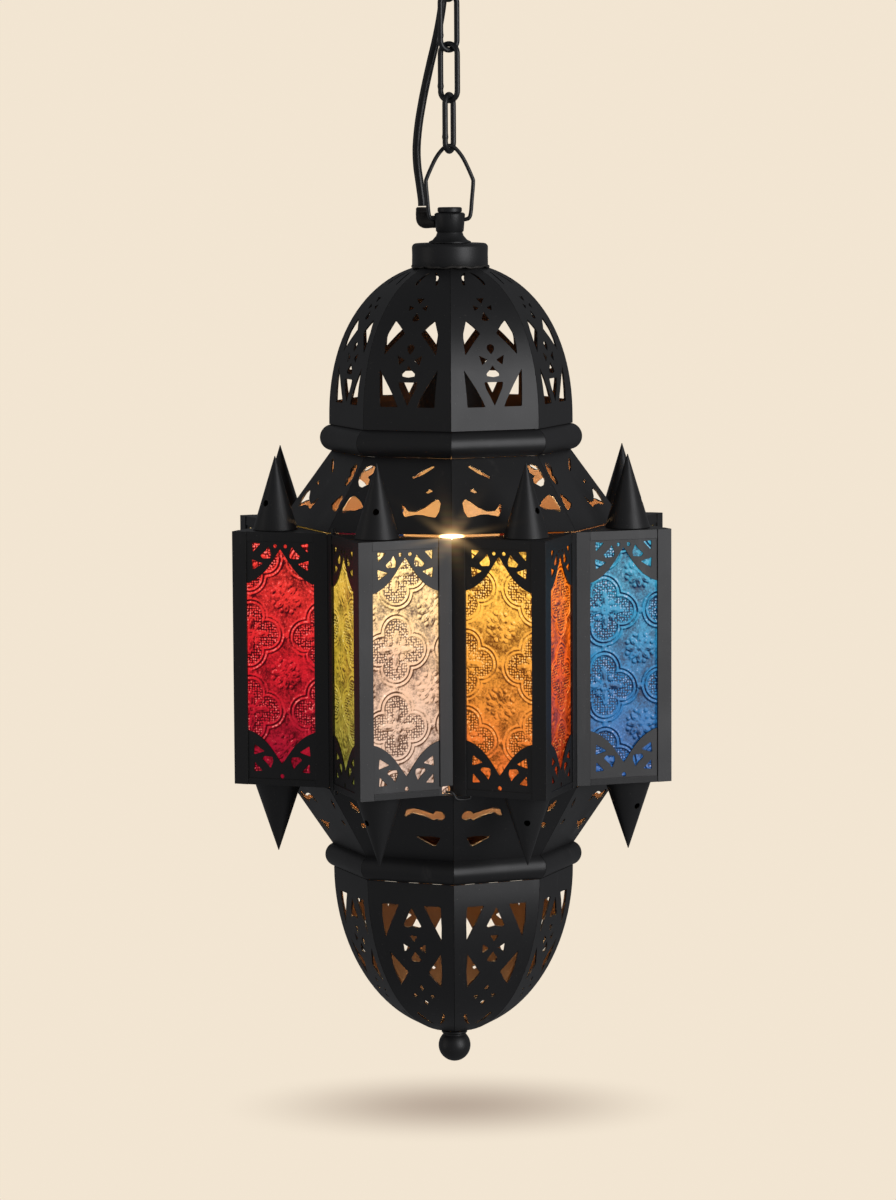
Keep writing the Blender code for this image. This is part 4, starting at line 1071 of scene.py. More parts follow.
LOWER_FLARE_HOLES = (
    (*arc((-27, 36), 3.5, -50, -345, 12), (-17.5, 39.3), (-11.8, 40.5), (-7, 39.2), (-4.4, 34.6), (-5.8, 34), (-10.5, 37), (-17.5, 35), (-22.5, 32)),
    ((-24, 18.7), (-18.5, 19.4), (-8, 18.7), (-13, 15), (-18.5, 11.5), (-19.8, 12.5)),
    ((24.2, 34), (24.6, 38.6), (28.8, 43.6), (28.6, 38.4)),
    arc((24, 24.6), 2, 0, 337.5, 15),
)


def softened(loops, radius):
    return [rounded(loop, radius) for loop in loops]


def add_sheet(name, sheet, nodes, body="lantern"):
    """A thin pierced sheet: painted outside, brown inside as painted light for the lamp's warm glow, its cut edges
    showing.
    """
    piece = add_piece(name, to_mesh(name, sheet), body, nodes, "black_metal", "painted_metal", "warm_lit_inner_metal", "cut_edge")
    solidify(piece, metal().sheet)
    return piece


def make_domes():
    """The two pierced domes of eight curved panels."""
    foot, top, radius = low("upper_dome"), high("upper_dome"), high("upper_dome", 0)
    skirt, rise, power, rows = 3.3 * MM, 93.4 * MM, 2.2, 26
    up = [(top - foot - skirt) * sin(pi / 2 * n / rows) for n in range(rows + 1)]
    profile = [(radius, foot), *((radius * (1 - (u / rise) ** power) ** (1 / power), foot + skirt + u) for u in up)]
    holes = in_mm(*mirrored(softened(UPPER_DOME_SIDE_HOLES, 0.7)), *softened(UPPER_DOME_MIDDLE_HOLES, 0.7))
    holes = [[(x, 2.6 * MM + 1.06 * y) for x, y in hole] for hole in holes]
    add_sheet("upper_dome_sheet", panel_shell(profile, holes), ["upper_dome"])

    foot, top, radius, drop = low("lower_dome"), high("lower_dome"), high("lower_dome", 0), 101.4 * MM
    down = [(top - foot) * sin(pi / 2 * n / rows) for n in range(rows, -1, -1)]
    profile = [(radius * sqrt(1 - (d / drop) ** 2), top - d) for d in down]
    length = sum(hypot((a - c) * cos(HALF_SIDE), b - d) for (a, b), (c, d) in zip(profile, profile[1:]))
    holes = in_mm(*mirrored(softened(LOWER_DOME_SIDE_HOLES, 0.7)), *softened(LOWER_DOME_MIDDLE_HOLES, 0.7))
    holes = [[(x, length - 2.2 * MM - 1.03 * y) for x, y in reversed(hole)] for hole in holes]
    add_sheet("lower_dome_sheet", panel_shell(profile, holes), ["lower_dome"])


def make_rings():
    """The two beads, each of eight rolled lengths with mitred ends."""
    for node in ("upper_ring", "lower_ring"):
        foot, top, reach = low(node), high(node), high(node, 0)
        bead = (top - foot) / 2
        profile = arc((reach - bead, foot + bead), bead, -130, 130, 40)
        ring = add_sheet(f"{node}_bead", panel_shell(profile, []), [node])
        soften(ring, 0.25 * MM)


def make_flares():
    """The two flared skirts between the star and its beads, pierced with leaves and scrolls."""
    for node, holes, foot_out, lift in (
        ("upper_flare", UPPER_FLARE_HOLES, True, (0.55 * MM, -0.5 * MM)),
        ("lower_flare", LOWER_FLARE_HOLES, False, (-0.5 * MM, 0.6 * MM)),
    ):
        foot, top = low(node) + lift[0], high(node) - lift[1]
        wide, neck = VALLEY_RADIUS, (72 if foot_out else 73.2) * MM
        profile = [(wide, foot), (neck, top)] if foot_out else [(neck, foot), (wide, top)]
        steps = 10
        profile = [tuple(Vector(profile[0]).lerp(Vector(profile[1]), n / steps)) for n in range(steps + 1)]
        shell = panel_shell(profile, in_mm(*softened(holes, 0.6)), alternate=True)
        if foot_out:  # the front corner stands a little off the star's top, and the lamp shows there
            corner = Vector((0, -wide, foot))
            for vertex in shell.verts:
                if (vertex.co - corner).length < 2 * MM:
                    vertex.co.z += 1.3 * MM
        add_sheet(f"{node}_sheet", shell, [node])


# ---------------------------------------------------------------- star

CASE_GAP = 0.4 * MM
PANEL_ENDS = [polar(RIDGE_RADIUS, 0, 0), polar(VALLEY_RADIUS, HALF_SIDE - CASE_GAP / 2 / VALLEY_RADIUS, 0)]
PANEL_WIDTH = (PANEL_ENDS[1] - PANEL_ENDS[0]).length
TOP_APEX, TOP_SHOULDER = 10 * MM, 30.5 * MM
FOOT_APEX, FOOT_SHOULDER = 13 * MM, 32.5 * MM
NOTCH_WIDTH, NOTCH_FOOT, NOTCH_TOP = 7 * MM, 1 * MM, 5.5 * MM
LATCH_PIVOT = (9.9 * MM, -101.4 * MM)
HINGE_PIN = next(joint["pos_m"] for joint in frame["joints"] if joint["name"] == "door_hinge")

# One side of a pane's opening, from its straight side to its point: shares of half width and of height
OGEE = ((1, 0), (0.84, 0.06), (0.62, 0.2), (0.4, 0.42), (0.2, 0.7), (0.08, 0.89), (0, 1))
# Holes round the point of the opening, in millimetres from the middle line and from the panel's end
CORNER_HOLES = (
    ((12.4, 6.9), (17.7, 6.4), (17.3, 12.0)),
    ((7.4, 8.4), (9.2, 11.0), (12.6, 14.0), (11.2, 15.8), (6.0, 15.4), (5.6, 12.6)),
    ((17.9, 16.4), (10.9, 18.6), (17.3, 22.6)),
)


def case_name(point):
    return "door_case" if point == 0 else f"point_case_{point}"


def case_body(point):
    return "door" if point == 0 else "lantern"


def panel_place(point, right):
    """Takes x across a panel from its middle, y up from its foot and z outwards to the lantern's frame."""
    azimuth = (2 * point - 1) * HALF_SIDE
    reach = HALF_SIDE - CASE_GAP / 2 / VALLEY_RADIUS
    ridge = polar(RIDGE_RADIUS, azimuth, STAR_FOOT)
    valley = polar(VALLEY_RADIUS, azimuth + (reach if right else -reach), STAR_FOOT)
    start, end = (ridge, valley) if right else (valley, ridge)
    across = (end - start).normalized()
    up = Vector((0, 0, 1))
    matrix = Matrix((across, up, across.cross(up))).transposed().to_4x4()
    matrix.translation = (start + end) / 2
    return matrix


def pane_opening():
    """The outline of a panel's opening, with an ogee arch at its top and foot."""
    half = PANEL_WIDTH / 2 - metal().strip
    curve = flowing(OGEE, 4)
    top, rise, drop = STAR_HEIGHT - TOP_SHOULDER, TOP_SHOULDER - TOP_APEX, FOOT_SHOULDER - FOOT_APEX
    right = [(half * x, top + rise * y) for x, y in curve]
    below = [(half * x, FOOT_SHOULDER - drop * y) for x, y in reversed(curve)]
    return [*right, *((-x, y) for x, y in reversed(right[:-1])), *((-x, y) for x, y in reversed(below[1:])), *below]


def panel_holes():
    """The small holes round both ends of the opening."""
    near = [*mirrored(softened(CORNER_HOLES, 0.8)), arc((3.2, 8.2), 1.15, 0, 330, 11), arc((-3.2, 8.2), 1.15, 0, 330, 11)]
    near = [[(x * MM, y * MM) for x, y in loop] for loop in near]
    far = [[(x, y + 1.6 * MM) for x, y in loop] for loop in near[:-2]]
    rivet = [(x * MM, y * MM) for x, y in arc((0, 5.6), 1.3, 0, 330, 11)]
    return [*([(x, STAR_HEIGHT - y) for x, y in loop] for loop in near), *far, rivet]


def make_case(point):
    """One point of the star: two pierced panels with a plate above and below, folded from one sheet."""
    half = PANEL_WIDTH / 2
    sheet = bmesh.new()
    for right in (False, True):
        outline = [(-half, 0), (half, 0), (half, STAR_HEIGHT), (-half, STAR_HEIGHT)]
        if point == 0 and right:
            inner = half - NOTCH_WIDTH
            outline[1:2] = [(half, 0), (half, NOTCH_FOOT), (inner, NOTCH_FOOT), (inner, NOTCH_TOP), (half, NOTCH_TOP)]
        merge(sheet, filled([outline, pane_opening(), *panel_holes()]), panel_place(point, right))
    left, right = panel_place(point, False), panel_place(point, True)
    corners = [left @ Vector((-half, 0, 0)), left @ Vector((half, 0, 0)), right @ Vector((half, 0, 0))]
    plan = [corner.xy for corner in corners]
    bore = [[(LATCH_PIVOT[0] + x, LATCH_PIVOT[1] + y) for x, y in arc((0, 0), 1.05 * MM, 0, 330, 11)]] if point == 1 else []
    merge(sheet, filled([plan]), Matrix.Translation((0, 0, STAR_TOP)))
    merge(sheet, filled([plan, *bore]), Matrix.Translation((0, 0, STAR_FOOT)))
    bmesh.ops.remove_doubles(sheet, verts=sheet.verts, dist=0.02 * MM)
    bmesh.ops.recalc_face_normals(sheet, faces=sheet.faces)
    if max(sheet.faces, key=lambda face: face.calc_center_median().z).normal.z < 0:
        bmesh.ops.reverse_faces(sheet, faces=sheet.faces)
    node, body = case_name(point), case_body(point)
    case = add_sheet(f"{node}_sheet", sheet, [node], body)
    soften(case, 0.14 * MM, 1)
    channels = make_channels(point, left, right, half)
    strips = add_piece(f"{node}_channels", to_mesh(f"{node}_channels", channels), body, [node], "black_metal", "painted_metal")
    soften(strips, 0.18 * MM)


def make_channels(point, left, right, half):
    """The folds that hold the panes: over the ridge, beside the valleys and along the top and foot.

    Each stands out most at its inner edge. A lip inside a valley keeps the lamp's light from its slit.
    """
    edge_proud, proud, under, wide = 0.35 * MM, 0.85 * MM, -0.15 * MM, metal().strip
    azimuth = (2 * point - 1) * HALF_SIDE
    lean = right.to_3x3().col[2].dot(polar(1, azimuth, 0))
    bars = bmesh.new()

    def plan(matrix, x, out):
        return (matrix @ Vector((x, 0, out))).xy

    def ridge_at(out):
        return polar(RIDGE_RADIUS + out / lean, azimuth, 0).xy

    ridge = [
        plan(left, half - wide, proud),
        ridge_at(edge_proud),
        plan(right, wide - half, proud),
        plan(right, wide - half, under),
        ridge_at(under),
        plan(left, half - wide, under),
    ]
    merge(bars, prism(ridge, STAR_FOOT, STAR_TOP))
    for matrix, side in ((left, -1), (right, 1)):
        edge, inner = side * half, side * (half - wide)
        strip = [plan(matrix, edge, under), plan(matrix, inner, under), plan(matrix, inner, proud), plan(matrix, edge, edge_proud)]
        notched = point == 0 and side > 0
        merge(bars, prism(strip, STAR_FOOT + (NOTCH_TOP if notched else 0), STAR_TOP))
        across = half - wide - 0.1 * MM
        for outer, inside in ((STAR_TOP, STAR_TOP - 5.4 * MM), (STAR_FOOT, STAR_FOOT + 3.9 * MM)):
            bar = [(outer, under), (inside, under), (inside, 0.6 * MM), (outer, 0.3 * MM)]
            ends = [
                [matrix @ Vector((x, z - STAR_FOOT, out)) for z, out in bar] for x in (-across, across)
            ]
            hem = bmesh.new()
            one, two = ([hem.verts.new(corner) for corner in end] for end in ends)
            hem.faces.new(one)
            hem.faces.new(list(reversed(two)))
            for n in range(4):
                hem.faces.new((one[n], one[n - 1], two[n - 1], two[n]))
            bmesh.ops.recalc_face_normals(hem, faces=hem.faces)
            merge(bars, hem)
    valleys = {0: [], 1: [0, 2]}.get(point, [2 * point])
    for valley in valleys:
        lip = [polar(VALLEY_RADIUS - depth, valley * HALF_SIDE, 0) for depth in (1.9 * MM, 2.5 * MM)]
        side = Vector((cos(valley * HALF_SIDE), sin(valley * HALF_SIDE), 0)) * 1.9 * MM
        plate = [(lip[0] - side).xy, (lip[0] + side).xy, (lip[1] + side).xy, (lip[1] - side).xy]
        merge(bars, prism(plate, STAR_FOOT + MM, STAR_TOP - MM))
    return bars


def make_door_pins():
    """The stubs the door turns on, with a blob of solder round each."""
    pins = bmesh.new()
    for level, way in ((STAR_TOP, 1), (STAR_FOOT, -1)):
        profile = [(0, 3.6 * MM), (0.9 * MM, 3.6 * MM), (1.2 * MM, 3.3 * MM), (1.2 * MM, 0.7 * MM), (2.1 * MM, 0.1 * MM), (2.1 * MM, -0.9 * MM), (0, -0.9 * MM)]
        merge(pins, turned([(r, level + way * z) for r, z in profile], 24), Matrix.Translation((HINGE_PIN[0], HINGE_PIN[1], 0)))
    bmesh.ops.recalc_face_normals(pins, faces=pins.faces)
    add_piece("door_pins", to_mesh("door_pins", pins), "door", ["door_case"], "black_metal", "lacquered_wire")


# ---------------------------------------------------------------- panes


def pressed_pattern(x, y):
    """Height, ridge and lobe shares of the pressed pattern at these places, in millimetres."""
    repeat = glass().repeat / MM
    x = np.abs((x / repeat + 0.5) % 1 - 0.5) * repeat
    y = np.abs((y / repeat + 0.5) % 1 - 0.5) * repeat

    def line(distance, width):
        return np.exp(-((distance / width) ** 2))

    def petal(along, across, middle, reach, width):
        return (np.hypot((along - middle) / reach, across / width) - 1) * width

    # A quatrefoil of four round lobes in a double line, with a cross of four petals inside
    quatrefoil = np.minimum(np.hypot(x - 10.2, y), np.hypot(x, y - 10.2)) - 8.5
    cross = np.minimum(petal(x, y, 6.2, 4.4, 1.7), petal(y, x, 6.2, 4.4, 1.7))
    cross = np.minimum(cross, np.hypot(x - 4.2, y - 4.2) - 1.3)
    cross = np.minimum(cross, np.hypot(x, y) - 1.5)
    lobe = np.clip(-(quatrefoil + 0.9) / 0.5, 0, 1) * np.clip(cross / 0.4, 0, 1)

    # A rosette of eight petals half a repeat away, and a bead where two quatrefoils meet
    distance, turn = np.hypot(x - repeat / 2, y - repeat / 2), np.arctan2(y - repeat / 2, x - repeat / 2)
    fold = (turn + pi / 8) % (pi / 4) - pi / 8
    gap = pi / 8 - np.abs(fold)
    rosette = petal(distance * np.cos(fold), distance * np.sin(fold), 5.2, 2.7, 1.35)
    rosette = np.minimum(rosette, np.hypot(distance * np.cos(gap) - 8.4, distance * np.sin(gap)) - 0.75)
    rosette = np.minimum(rosette, distance - 1.5)
    bead = np.minimum(np.hypot(x - repeat / 2, y), np.hypot(x, y - repeat / 2)) - 1.2
    raised = np.minimum(np.minimum(cross, rosette), bead)

    ridge = np.clip(line(quatrefoil, 0.55) + line(quatrefoil - 2.3, 0.55) + 0.7 * line(raised, 0.4), 0, 1)
    height = 0.25 + 0.6 * ridge + 0.75 * np.clip(-raised / 1.2, 0, 1) - 0.2 * line(quatrefoil - 1.15, 0.5)
    return np.clip(height, 0, 1), ridge, lobe


def make_pane(point, right, node):
    """A pane of pressed glass behind a panel: its face carries the pattern and its back is flat."""
    number, half, clear = 2 * point + right + 1, PANEL_WIDTH / 2, 1.3 * MM
    near, far = (half - 5.6 * MM, half - 2.6 * MM) if right else (half - 2.6 * MM, half - 5.6 * MM)
    columns, rows = (round((near + far) / glass().grid), round((STAR_HEIGHT - 2 * clear) / glass().grid))
    x, y = np.meshgrid(np.linspace(-near, far, columns + 1), np.linspace(clear, STAR_HEIGHT - clear, rows + 1))
    shift_x, shift_y = (0.38 * number - 0.64) % 1, (0.21 * number - 0.343) % 1
    repeat = glass().repeat
    wander = 0.5 * MM * np.sin(y / (9 * MM)), 0.5 * MM * np.sin(x / (7 * MM))
    height, ridge, lobe = pressed_pattern((x + wander[0] + shift_x * repeat) / MM, (y + wander[1] + shift_y * repeat) / MM)
    # The relief channel is painted light and shade: the pattern's slopes as if lit from a fixed direction above and to
    # one side.
    slope_y, slope_x = np.gradient(height)
    relief = np.clip(0.5 + 0.85 * (0.8 * slope_y * (-1) + (0.6 if right else -0.6) * slope_x), 0, 1)
    face = 0.35 * MM + clear - glass().relief * (height - 0.35)
    front = np.stack([x, y, -face], axis=-1).reshape(-1, 3)
    at = np.arange(front.shape[0]).reshape(rows + 1, columns + 1)
    rim = np.concatenate([at[0, :-1], at[:-1, -1], at[-1, :0:-1], at[:0:-1, 0]])
    back = front[rim].copy()
    back[:, 2] = -(clear + 0.35 * MM + glass().thickness)
    quads = np.stack([at[:-1, :-1], at[:-1, 1:], at[1:, 1:], at[1:, :-1]], axis=-1).reshape(-1, 4)
    low_rim = len(front) + np.arange(len(rim))
    skirt = np.stack([np.roll(rim, -1), rim, low_rim, np.roll(low_rim, -1)], axis=-1)
    mesh = bpy.data.meshes.new(node)
    mesh.from_pydata([*front.tolist(), *back.tolist()], [], [*quads.tolist(), *skirt.tolist(), low_rim[::-1].tolist()])
    tint = np.zeros((len(mesh.vertices), 4), np.float32)
    tint[:, 3] = 1
    tint[: len(front), :3] = np.stack([ridge, lobe, relief], axis=-1).reshape(-1, 3)
    mesh.color_attributes.new("pattern", "FLOAT_COLOR", "POINT").data.foreach_set("color", tint.ravel())
    corners = np.empty(len(mesh.loops), np.int32)
    mesh.loops.foreach_get("vertex_index", corners)
    flat = np.concatenate([front, back])[:, :2]
    mesh.uv_layers.new(name="UVMap").data.foreach_set("uv", flat[corners].astype(np.float32).ravel())
    mesh.transform(panel_place(point, right))
    mesh.shade_smooth()
    mesh.set_sharp_from_angle(angle=radians(60))
    colour = node.rsplit("_", 1)[1]
    add_piece(f"{node}_face", mesh, case_body(point), [node], f"{colour}_glass", f"pressed_{colour}")


# ---------------------------------------------------------------- spires, latch and finial


def make_spire(number, top):
    """A cone rolled from a flat sheet, with a lapped seam and, on its outer side, a rivet hole."""
    node = f"{'top' if top else 'foot'}_spire_{number}"
    azimuth = (2 * (number - 1) - 1) * HALF_SIDE
    centre, radius = 113 * MM, (13.5 if top else 14.2) * MM
    base, tip = (low(node), high(node)) if top else (high(node), low(node))
    slant = hypot(radius, tip - base)
    around = pi * radius
    hole_at, hole_up = 0.9 * MM * (-1) ** number, 0.36 * slant
    spread = slant / (slant - hole_up)
    hole = [(hole_at + 1.95 * MM * spread * cos(a), hole_up + 1.95 * MM * sin(a)) for a in (2 * pi * n / 20 for n in range(20))]
    cone = filled([[(-around, 0), (around, 0), (around, slant * 0.985), (-around, slant * 0.985)], hole])
    cut_rows(cone, [around * n / 18 for n in range(-17, 18)], (1, 0, 0))
    cut_rows(cone, [slant * share for share in (0.2, 0.55, 0.8)])
    for vertex in cone.verts:
        x, share = vertex.co.x, vertex.co.y / slant
        turn = x / radius + azimuth + (0.4 if top else -0.5)
        reach = radius * (1 - share) * (1 - 0.03 * (x / around + 1) / 2)
        place_at = polar(centre, azimuth, 0) + polar(reach, turn, base + (tip - base) * share)
        vertex.co = place_at
    bmesh.ops.recalc_face_normals(cone, faces=cone.faces)
    middle = polar(centre, azimuth, base)
    probe = max(cone.faces, key=lambda face: face.calc_area())
    if probe.normal.dot(probe.calc_center_median() - middle) < 0:
        bmesh.ops.reverse_faces(cone, faces=cone.faces)
    body = "door" if number == 1 else "lantern"
    spire = add_sheet(f"{node}_cone", cone, [node], body)
    spire.modifiers["sheet"].thickness = 0.6 * MM


def make_latch():
    """A bent wire that turns in the case's foot plate. Its tip lies in the door's notch."""
    x, y = LATCH_PIVOT
    front = -VALLEY_RADIUS - 3.2 * MM
    route = [
        (x, y, STAR_FOOT + 2.6 * MM),
        (x, y, STAR_FOOT - 1.4 * MM),
        (x - 0.9 * MM, y - 0.5 * MM, STAR_FOOT - 2.5 * MM),
        (0.42 * x, front + 1.4 * MM, STAR_FOOT - 2.6 * MM),
        (0.16 * x, front, STAR_FOOT - 1.6 * MM),
        (0.03 * x, front, STAR_FOOT + 0.8 * MM),
        (-0.13 * x, front, STAR_FOOT + 2 * MM),
        (-4.6 * MM, front + 0.5 * MM, STAR_FOOT + 2.3 * MM),
    ]
    wire = swept(even(flowing(route), 0.35 * MM), 0.7 * MM, 14)
    add_piece("latch_wire", to_mesh("latch", wire), "latch", ["door_latch"], "black_metal", "lacquered_wire")


def make_finial():
    """A ball under a small disc, with the nut and stud that hold it inside the bowl."""
    foot, top = low("finial"), high("finial")
    ball, stud, disc = 9.75 * MM, 2.5 * MM, 7.8 * MM
    seat = low("lower_dome") - GAP
    profile = [
        (0, top),
        (stud - 0.3 * MM, top),
        (stud, top - 0.4 * MM),
        (stud, seat + 0.2 * MM),
        (disc - 0.4 * MM, seat),
        (disc, seat - 0.4 * MM),
        (disc, seat - 1.2 * MM),
        (disc - 0.4 * MM, seat - 1.6 * MM),
        (ball * cos(radians(44)), seat - 1.9 * MM),
        *arc((0, foot + ball), ball, 44, -88, 30),
        (0, foot),
    ]
    add_piece("finial_ball", to_mesh("finial", turned(profile, 64)), "lantern", ["finial"], "black_metal", "painted_metal")
    nut_foot = low("lower_dome") + 2.6 * MM
    outline = [(x, y) for x, y in arc((0, 0), disc, 0, 300, 5)]
    nut = add_piece("finial_nut", to_mesh("finial_nut", prism(outline, nut_foot, nut_foot + 4 * MM)), "lantern", ["finial"], "black_metal", "lacquered_wire")
    carve(nut, rod(stud + 0.1 * MM, nut_foot + 6 * MM, nut_foot - 2 * MM))
    soften(nut, 0.4 * MM)


# ---------------------------------------------------------------- stage

STREAKS = {
    "Threshold": 5.0, "Strength": 0.30, "Streaks": 8, "Streaks Angle": radians(12), "Iterations": 3, "Fade": 0.84,
}
BLOOM = {"Threshold": 5.0, "Strength": 0.25, "Size": 0.3}


def make_room():
    """A cream room: bright where it is seen, dim as a source of light."""
    scene = bpy.context.scene
    scene.view_settings.view_transform = "Standard"
    world = bpy.data.worlds.new("cream_room")
    scene.world = world
    world.use_nodes = True
    tree = world.node_tree
    seen = tree.nodes["Background"]
    seen.inputs["Color"].default_value = (*stage().backdrop, 1)
    given = tree.nodes.new("ShaderNodeBackground")
    given.inputs["Color"].default_value = (0.95, 0.96, 1.0, 1)
    given.inputs["Strength"].default_value = 0.13
    path = tree.nodes.new("ShaderNodeLightPath")
    choice = tree.nodes.new("ShaderNodeMixShader")
    tree.links.new(path.outputs["Is Camera Ray"], choice.inputs[0])
    tree.links.new(given.outputs[0], choice.inputs[1])
    tree.links.new(seen.outputs[0], choice.inputs[2])
    tree.links.new(choice.outputs[0], tree.nodes["World Output"].inputs["Surface"])


def make_glare():
    """The lens's star round the bare lamp."""
    scene = bpy.context.scene
    scene.use_nodes = True
    tree = scene.node_tree
    tree.nodes.clear()
    seen = tree.nodes.new("CompositorNodeRLayers")
    shown = tree.nodes.new("CompositorNodeComposite")
    last = seen.outputs["Image"]
    for kind, settings in (("STREAKS", STREAKS), ("BLOOM", BLOOM)):
        glare = tree.nodes.new("CompositorNodeGlare")
        glare.glare_type = kind
        for name, value in settings.items():
            glare.inputs[name].default_value = value
        tree.links.new(last, glare.inputs["Image"])
        last = glare.outputs["Image"]
    tree.links.new(last, shown.inputs["Image"])


def make_floor():
    """A plain pale floor with a soft contact shadow painted into its emission."""
    bm = bmesh.new()
    bmesh.ops.create_grid(bm, x_segments=1, y_segments=1, size=14)
    floor = bpy.data.objects.new("floor", to_mesh("floor", bm))
    bpy.context.scene.collection.objects.link(floor)
    floor.location.z = low("finial") - stage().floor
    finish = Finish("pale_floor", roughness=1.0, base_color=(0, 0, 0, 1), specular_ior_level=0.0, emission_strength=1.0)
    across = finish.node("ShaderNodeSeparateXYZ", [finish.place()], output=0)
    along = finish.node("ShaderNodeSeparateXYZ", [finish.place()], output=1)
    # Painted shadow: the floor's emission darkens in an ellipse under the lantern; no light casts it.
    distance = ((across / 0.150) ** 2 + (along / 0.105) ** 2) ** 0.5
    painted_shadow = 1 - finish.band(distance, 0.0, 1.0)
    lit = tuple(stage().backdrop)
    finish.feed("Emission Color", finish.mix(painted_shadow, lit, (0.497, 0.407, 0.330)))
    floor.data.materials.append(finish.material)
    floor.visible_diffuse = floor.visible_glossy = False


def make_lights():
    """A large soft window on the right, a faint one on the left and the lamp's own glow inside."""
    star = Vector((0, 0, (STAR_FOOT + STAR_TOP) / 2))
    for name, azimuth, distance, height, size, energy, colour in (
        ("window", 46, 2.5, 0.30, (1.5, 2.0), 29, (0.98, 0.98, 1.0)),
        ("wall", -75, 2.5, 0.10, (1.0, 2.0), 2.6, (1.0, 0.93, 0.86)),
    ):
        data = bpy.data.lights.new(name, "AREA")
        data.shape = "RECTANGLE"
        data.size, data.size_y = size
        data.energy, data.color = energy, colour
        light = bpy.data.objects.new(name, data)
        light.location = polar(distance, radians(azimuth), star.z + height)
        light.rotation_euler = (star - light.location).to_track_quat("-Z", "Y").to_euler()
        bpy.context.scene.collection.objects.link(light)
    data = bpy.data.lights.new("lamp_glow", "POINT")
    data.energy, data.color, data.shadow_soft_size = 2.4, (1.0, 0.60, 0.28), 12 * MM
    glow = bpy.data.objects.new("lamp_glow", data)
    glow.location = (0, 0, low("bulb") - 16 * MM)
    glow.parent = frame["bodies"]["lantern"]
    bpy.context.scene.collection.objects.link(glow)


def make_camera():
    """A long lens at the height of the chain, tilted down a little."""
    data = bpy.data.cameras.new("camera")
    data.sensor_fit = "VERTICAL"
    data.angle_y = radians(15.19)
    data.clip_start = 0.05
    camera = bpy.data.objects.new("camera", data)
    camera.location = (-2.4 * MM, -stage().distance, -113.6 * MM)
    look = Matrix.Rotation(radians(83.8), 4, "X") @ Matrix.Rotation(radians(-0.34), 4, "Z")
    camera.rotation_euler = look.to_euler()
    bpy.context.scene.collection.objects.link(camera)
    bpy.context.scene.camera = camera


# ---------------------------------------------------------------- add-on


class LanternOperator:
    bl_options = {"REGISTER", "UNDO"}

    def execute(self, context):
        self.make()
        return {"FINISHED"}


class OBJECT_OT_lantern_stage(LanternOperator, bpy.types.Operator):
    """Sets the camera, the room, the floor and the lights."""

    bl_idname = "lantern.stage"
    bl_label = "Stage"

    def make(self):
        make_camera()
        make_room()
        make_glare()
        make_floor()
        make_lights()


class OBJECT_OT_lantern_cord(LanternOperator, bpy.types.Operator):
    """Adds the supply cord beside the chain."""

    bl_idname = "lantern.cord"
    bl_label = "Cord"

    def make(self):
        make_cord()


class OBJECT_OT_lantern_canopy(LanternOperator, bpy.types.Operator):
    """Adds the ceiling canopy and its hook."""

    bl_idname = "lantern.canopy"
    bl_label = "Canopy and hook"

    def make(self):
        make_canopy()
        make_hook()


class OBJECT_OT_lantern_chain(LanternOperator, bpy.types.Operator):
    """Adds the three chain links and the bail."""

    bl_idname = "lantern.chain"
    bl_label = "Chain and bail"

    def make(self):
        for number, turn in enumerate(LINK_TURNS, 1):
            make_link(number, turn)
        make_bail()


class OBJECT_OT_lantern_hub(LanternOperator, bpy.types.Operator):
    """Adds the hub, its cord gland and the collar on the dome."""

    bl_idname = "lantern.hub"
    bl_label = "Hub, gland and collar"

    def make(self):
        make_hub()
        make_gland()
        make_collar()


class OBJECT_OT_lantern_lamp(LanternOperator, bpy.types.Operator):
    """Adds the lampholder and its bulb."""

    bl_idname = "lantern.lamp"
    bl_label = "Lamp"

    def make(self):
        make_lampholder()
        make_bulb()


class OBJECT_OT_lantern_domes(LanternOperator, bpy.types.Operator):
    """Adds the pierced domes, the beads and the flares."""

    bl_idname = "lantern.domes"
    bl_label = "Domes, beads and flares"

    def make(self):
        make_domes()
        make_rings()
        make_flares()


class OBJECT_OT_lantern_star(LanternOperator, bpy.types.Operator):
    """Adds the eight folded cases of the star, the door among them."""

    bl_idname = "lantern.star"
    bl_label = "Star cases"

    def make(self):
        for point in range(SIDES):
            make_case(point)
        make_door_pins()


class OBJECT_OT_lantern_panes(LanternOperator, bpy.types.Operator):
    """Adds the sixteen panes of pressed glass."""

    bl_idname = "lantern.panes"
    bl_label = "Panes"

    def make(self):
        for node in sorted(name for name in frame["nodes"] if name.startswith("pane_")):
            number = int(node.split("_")[1]) - 1
            make_pane(number // 2, bool(number % 2), node)


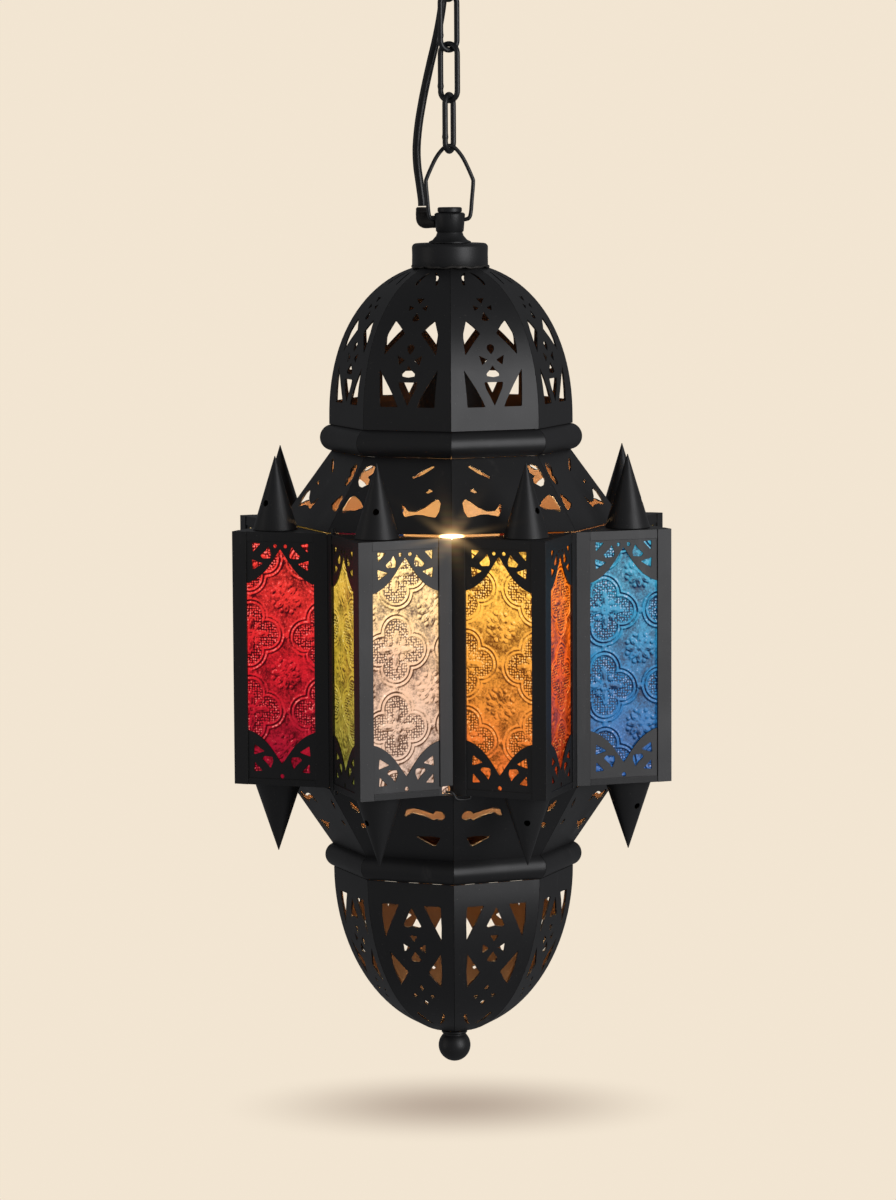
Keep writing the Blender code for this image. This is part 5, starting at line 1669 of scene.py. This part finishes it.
class OBJECT_OT_lantern_spires(LanternOperator, bpy.types.Operator):
    """Adds the spires above and below the star."""

    bl_idname = "lantern.spires"
    bl_label = "Spires"

    def make(self):
        for number in range(1, SIDES + 1):
            make_spire(number, True)
            make_spire(number, False)


class OBJECT_OT_lantern_latch(LanternOperator, bpy.types.Operator):
    """Adds the door's wire latch."""

    bl_idname = "lantern.latch"
    bl_label = "Latch"

    def make(self):
        make_latch()


class OBJECT_OT_lantern_finial(LanternOperator, bpy.types.Operator):
    """Adds the ball finial and its nut."""

    bl_idname = "lantern.finial"
    bl_label = "Finial"

    def make(self):
        make_finial()


OPERATORS = (
    OBJECT_OT_lantern_stage,
    OBJECT_OT_lantern_cord,
    OBJECT_OT_lantern_canopy,
    OBJECT_OT_lantern_chain,
    OBJECT_OT_lantern_hub,
    OBJECT_OT_lantern_lamp,
    OBJECT_OT_lantern_domes,
    OBJECT_OT_lantern_star,
    OBJECT_OT_lantern_panes,
    OBJECT_OT_lantern_spires,
    OBJECT_OT_lantern_latch,
    OBJECT_OT_lantern_finial,
)


class VIEW3D_PT_lantern(bpy.types.Panel):
    """The lantern's sizes, colours and pieces."""

    bl_label = "Star Lantern"
    bl_space_type = "VIEW_3D"
    bl_region_type = "UI"
    bl_category = "Lantern"

    def draw(self, context):
        for group in (metal(), glass(), stage()):
            box = self.layout.box()
            for name in group.__annotations__:
                box.prop(group, name)
        for operator in OPERATORS:
            self.layout.operator(operator.bl_idname)


CLASSES = (LanternMetal, LanternGlass, LanternStage, *OPERATORS, VIEW3D_PT_lantern)


def register():
    for cls in CLASSES:
        bpy.utils.register_class(cls)
    bpy.types.Scene.lantern_metal = PointerProperty(type=LanternMetal)
    bpy.types.Scene.lantern_glass = PointerProperty(type=LanternGlass)
    bpy.types.Scene.lantern_stage = PointerProperty(type=LanternStage)


def unregister():
    del bpy.types.Scene.lantern_stage
    del bpy.types.Scene.lantern_glass
    del bpy.types.Scene.lantern_metal
    for cls in reversed(CLASSES):
        bpy.utils.unregister_class(cls)


def main():
    register()
    for operator in OPERATORS:
        getattr(bpy.ops.lantern, operator.bl_idname.split(".")[1])()


if __name__ == "__main__":
    main()
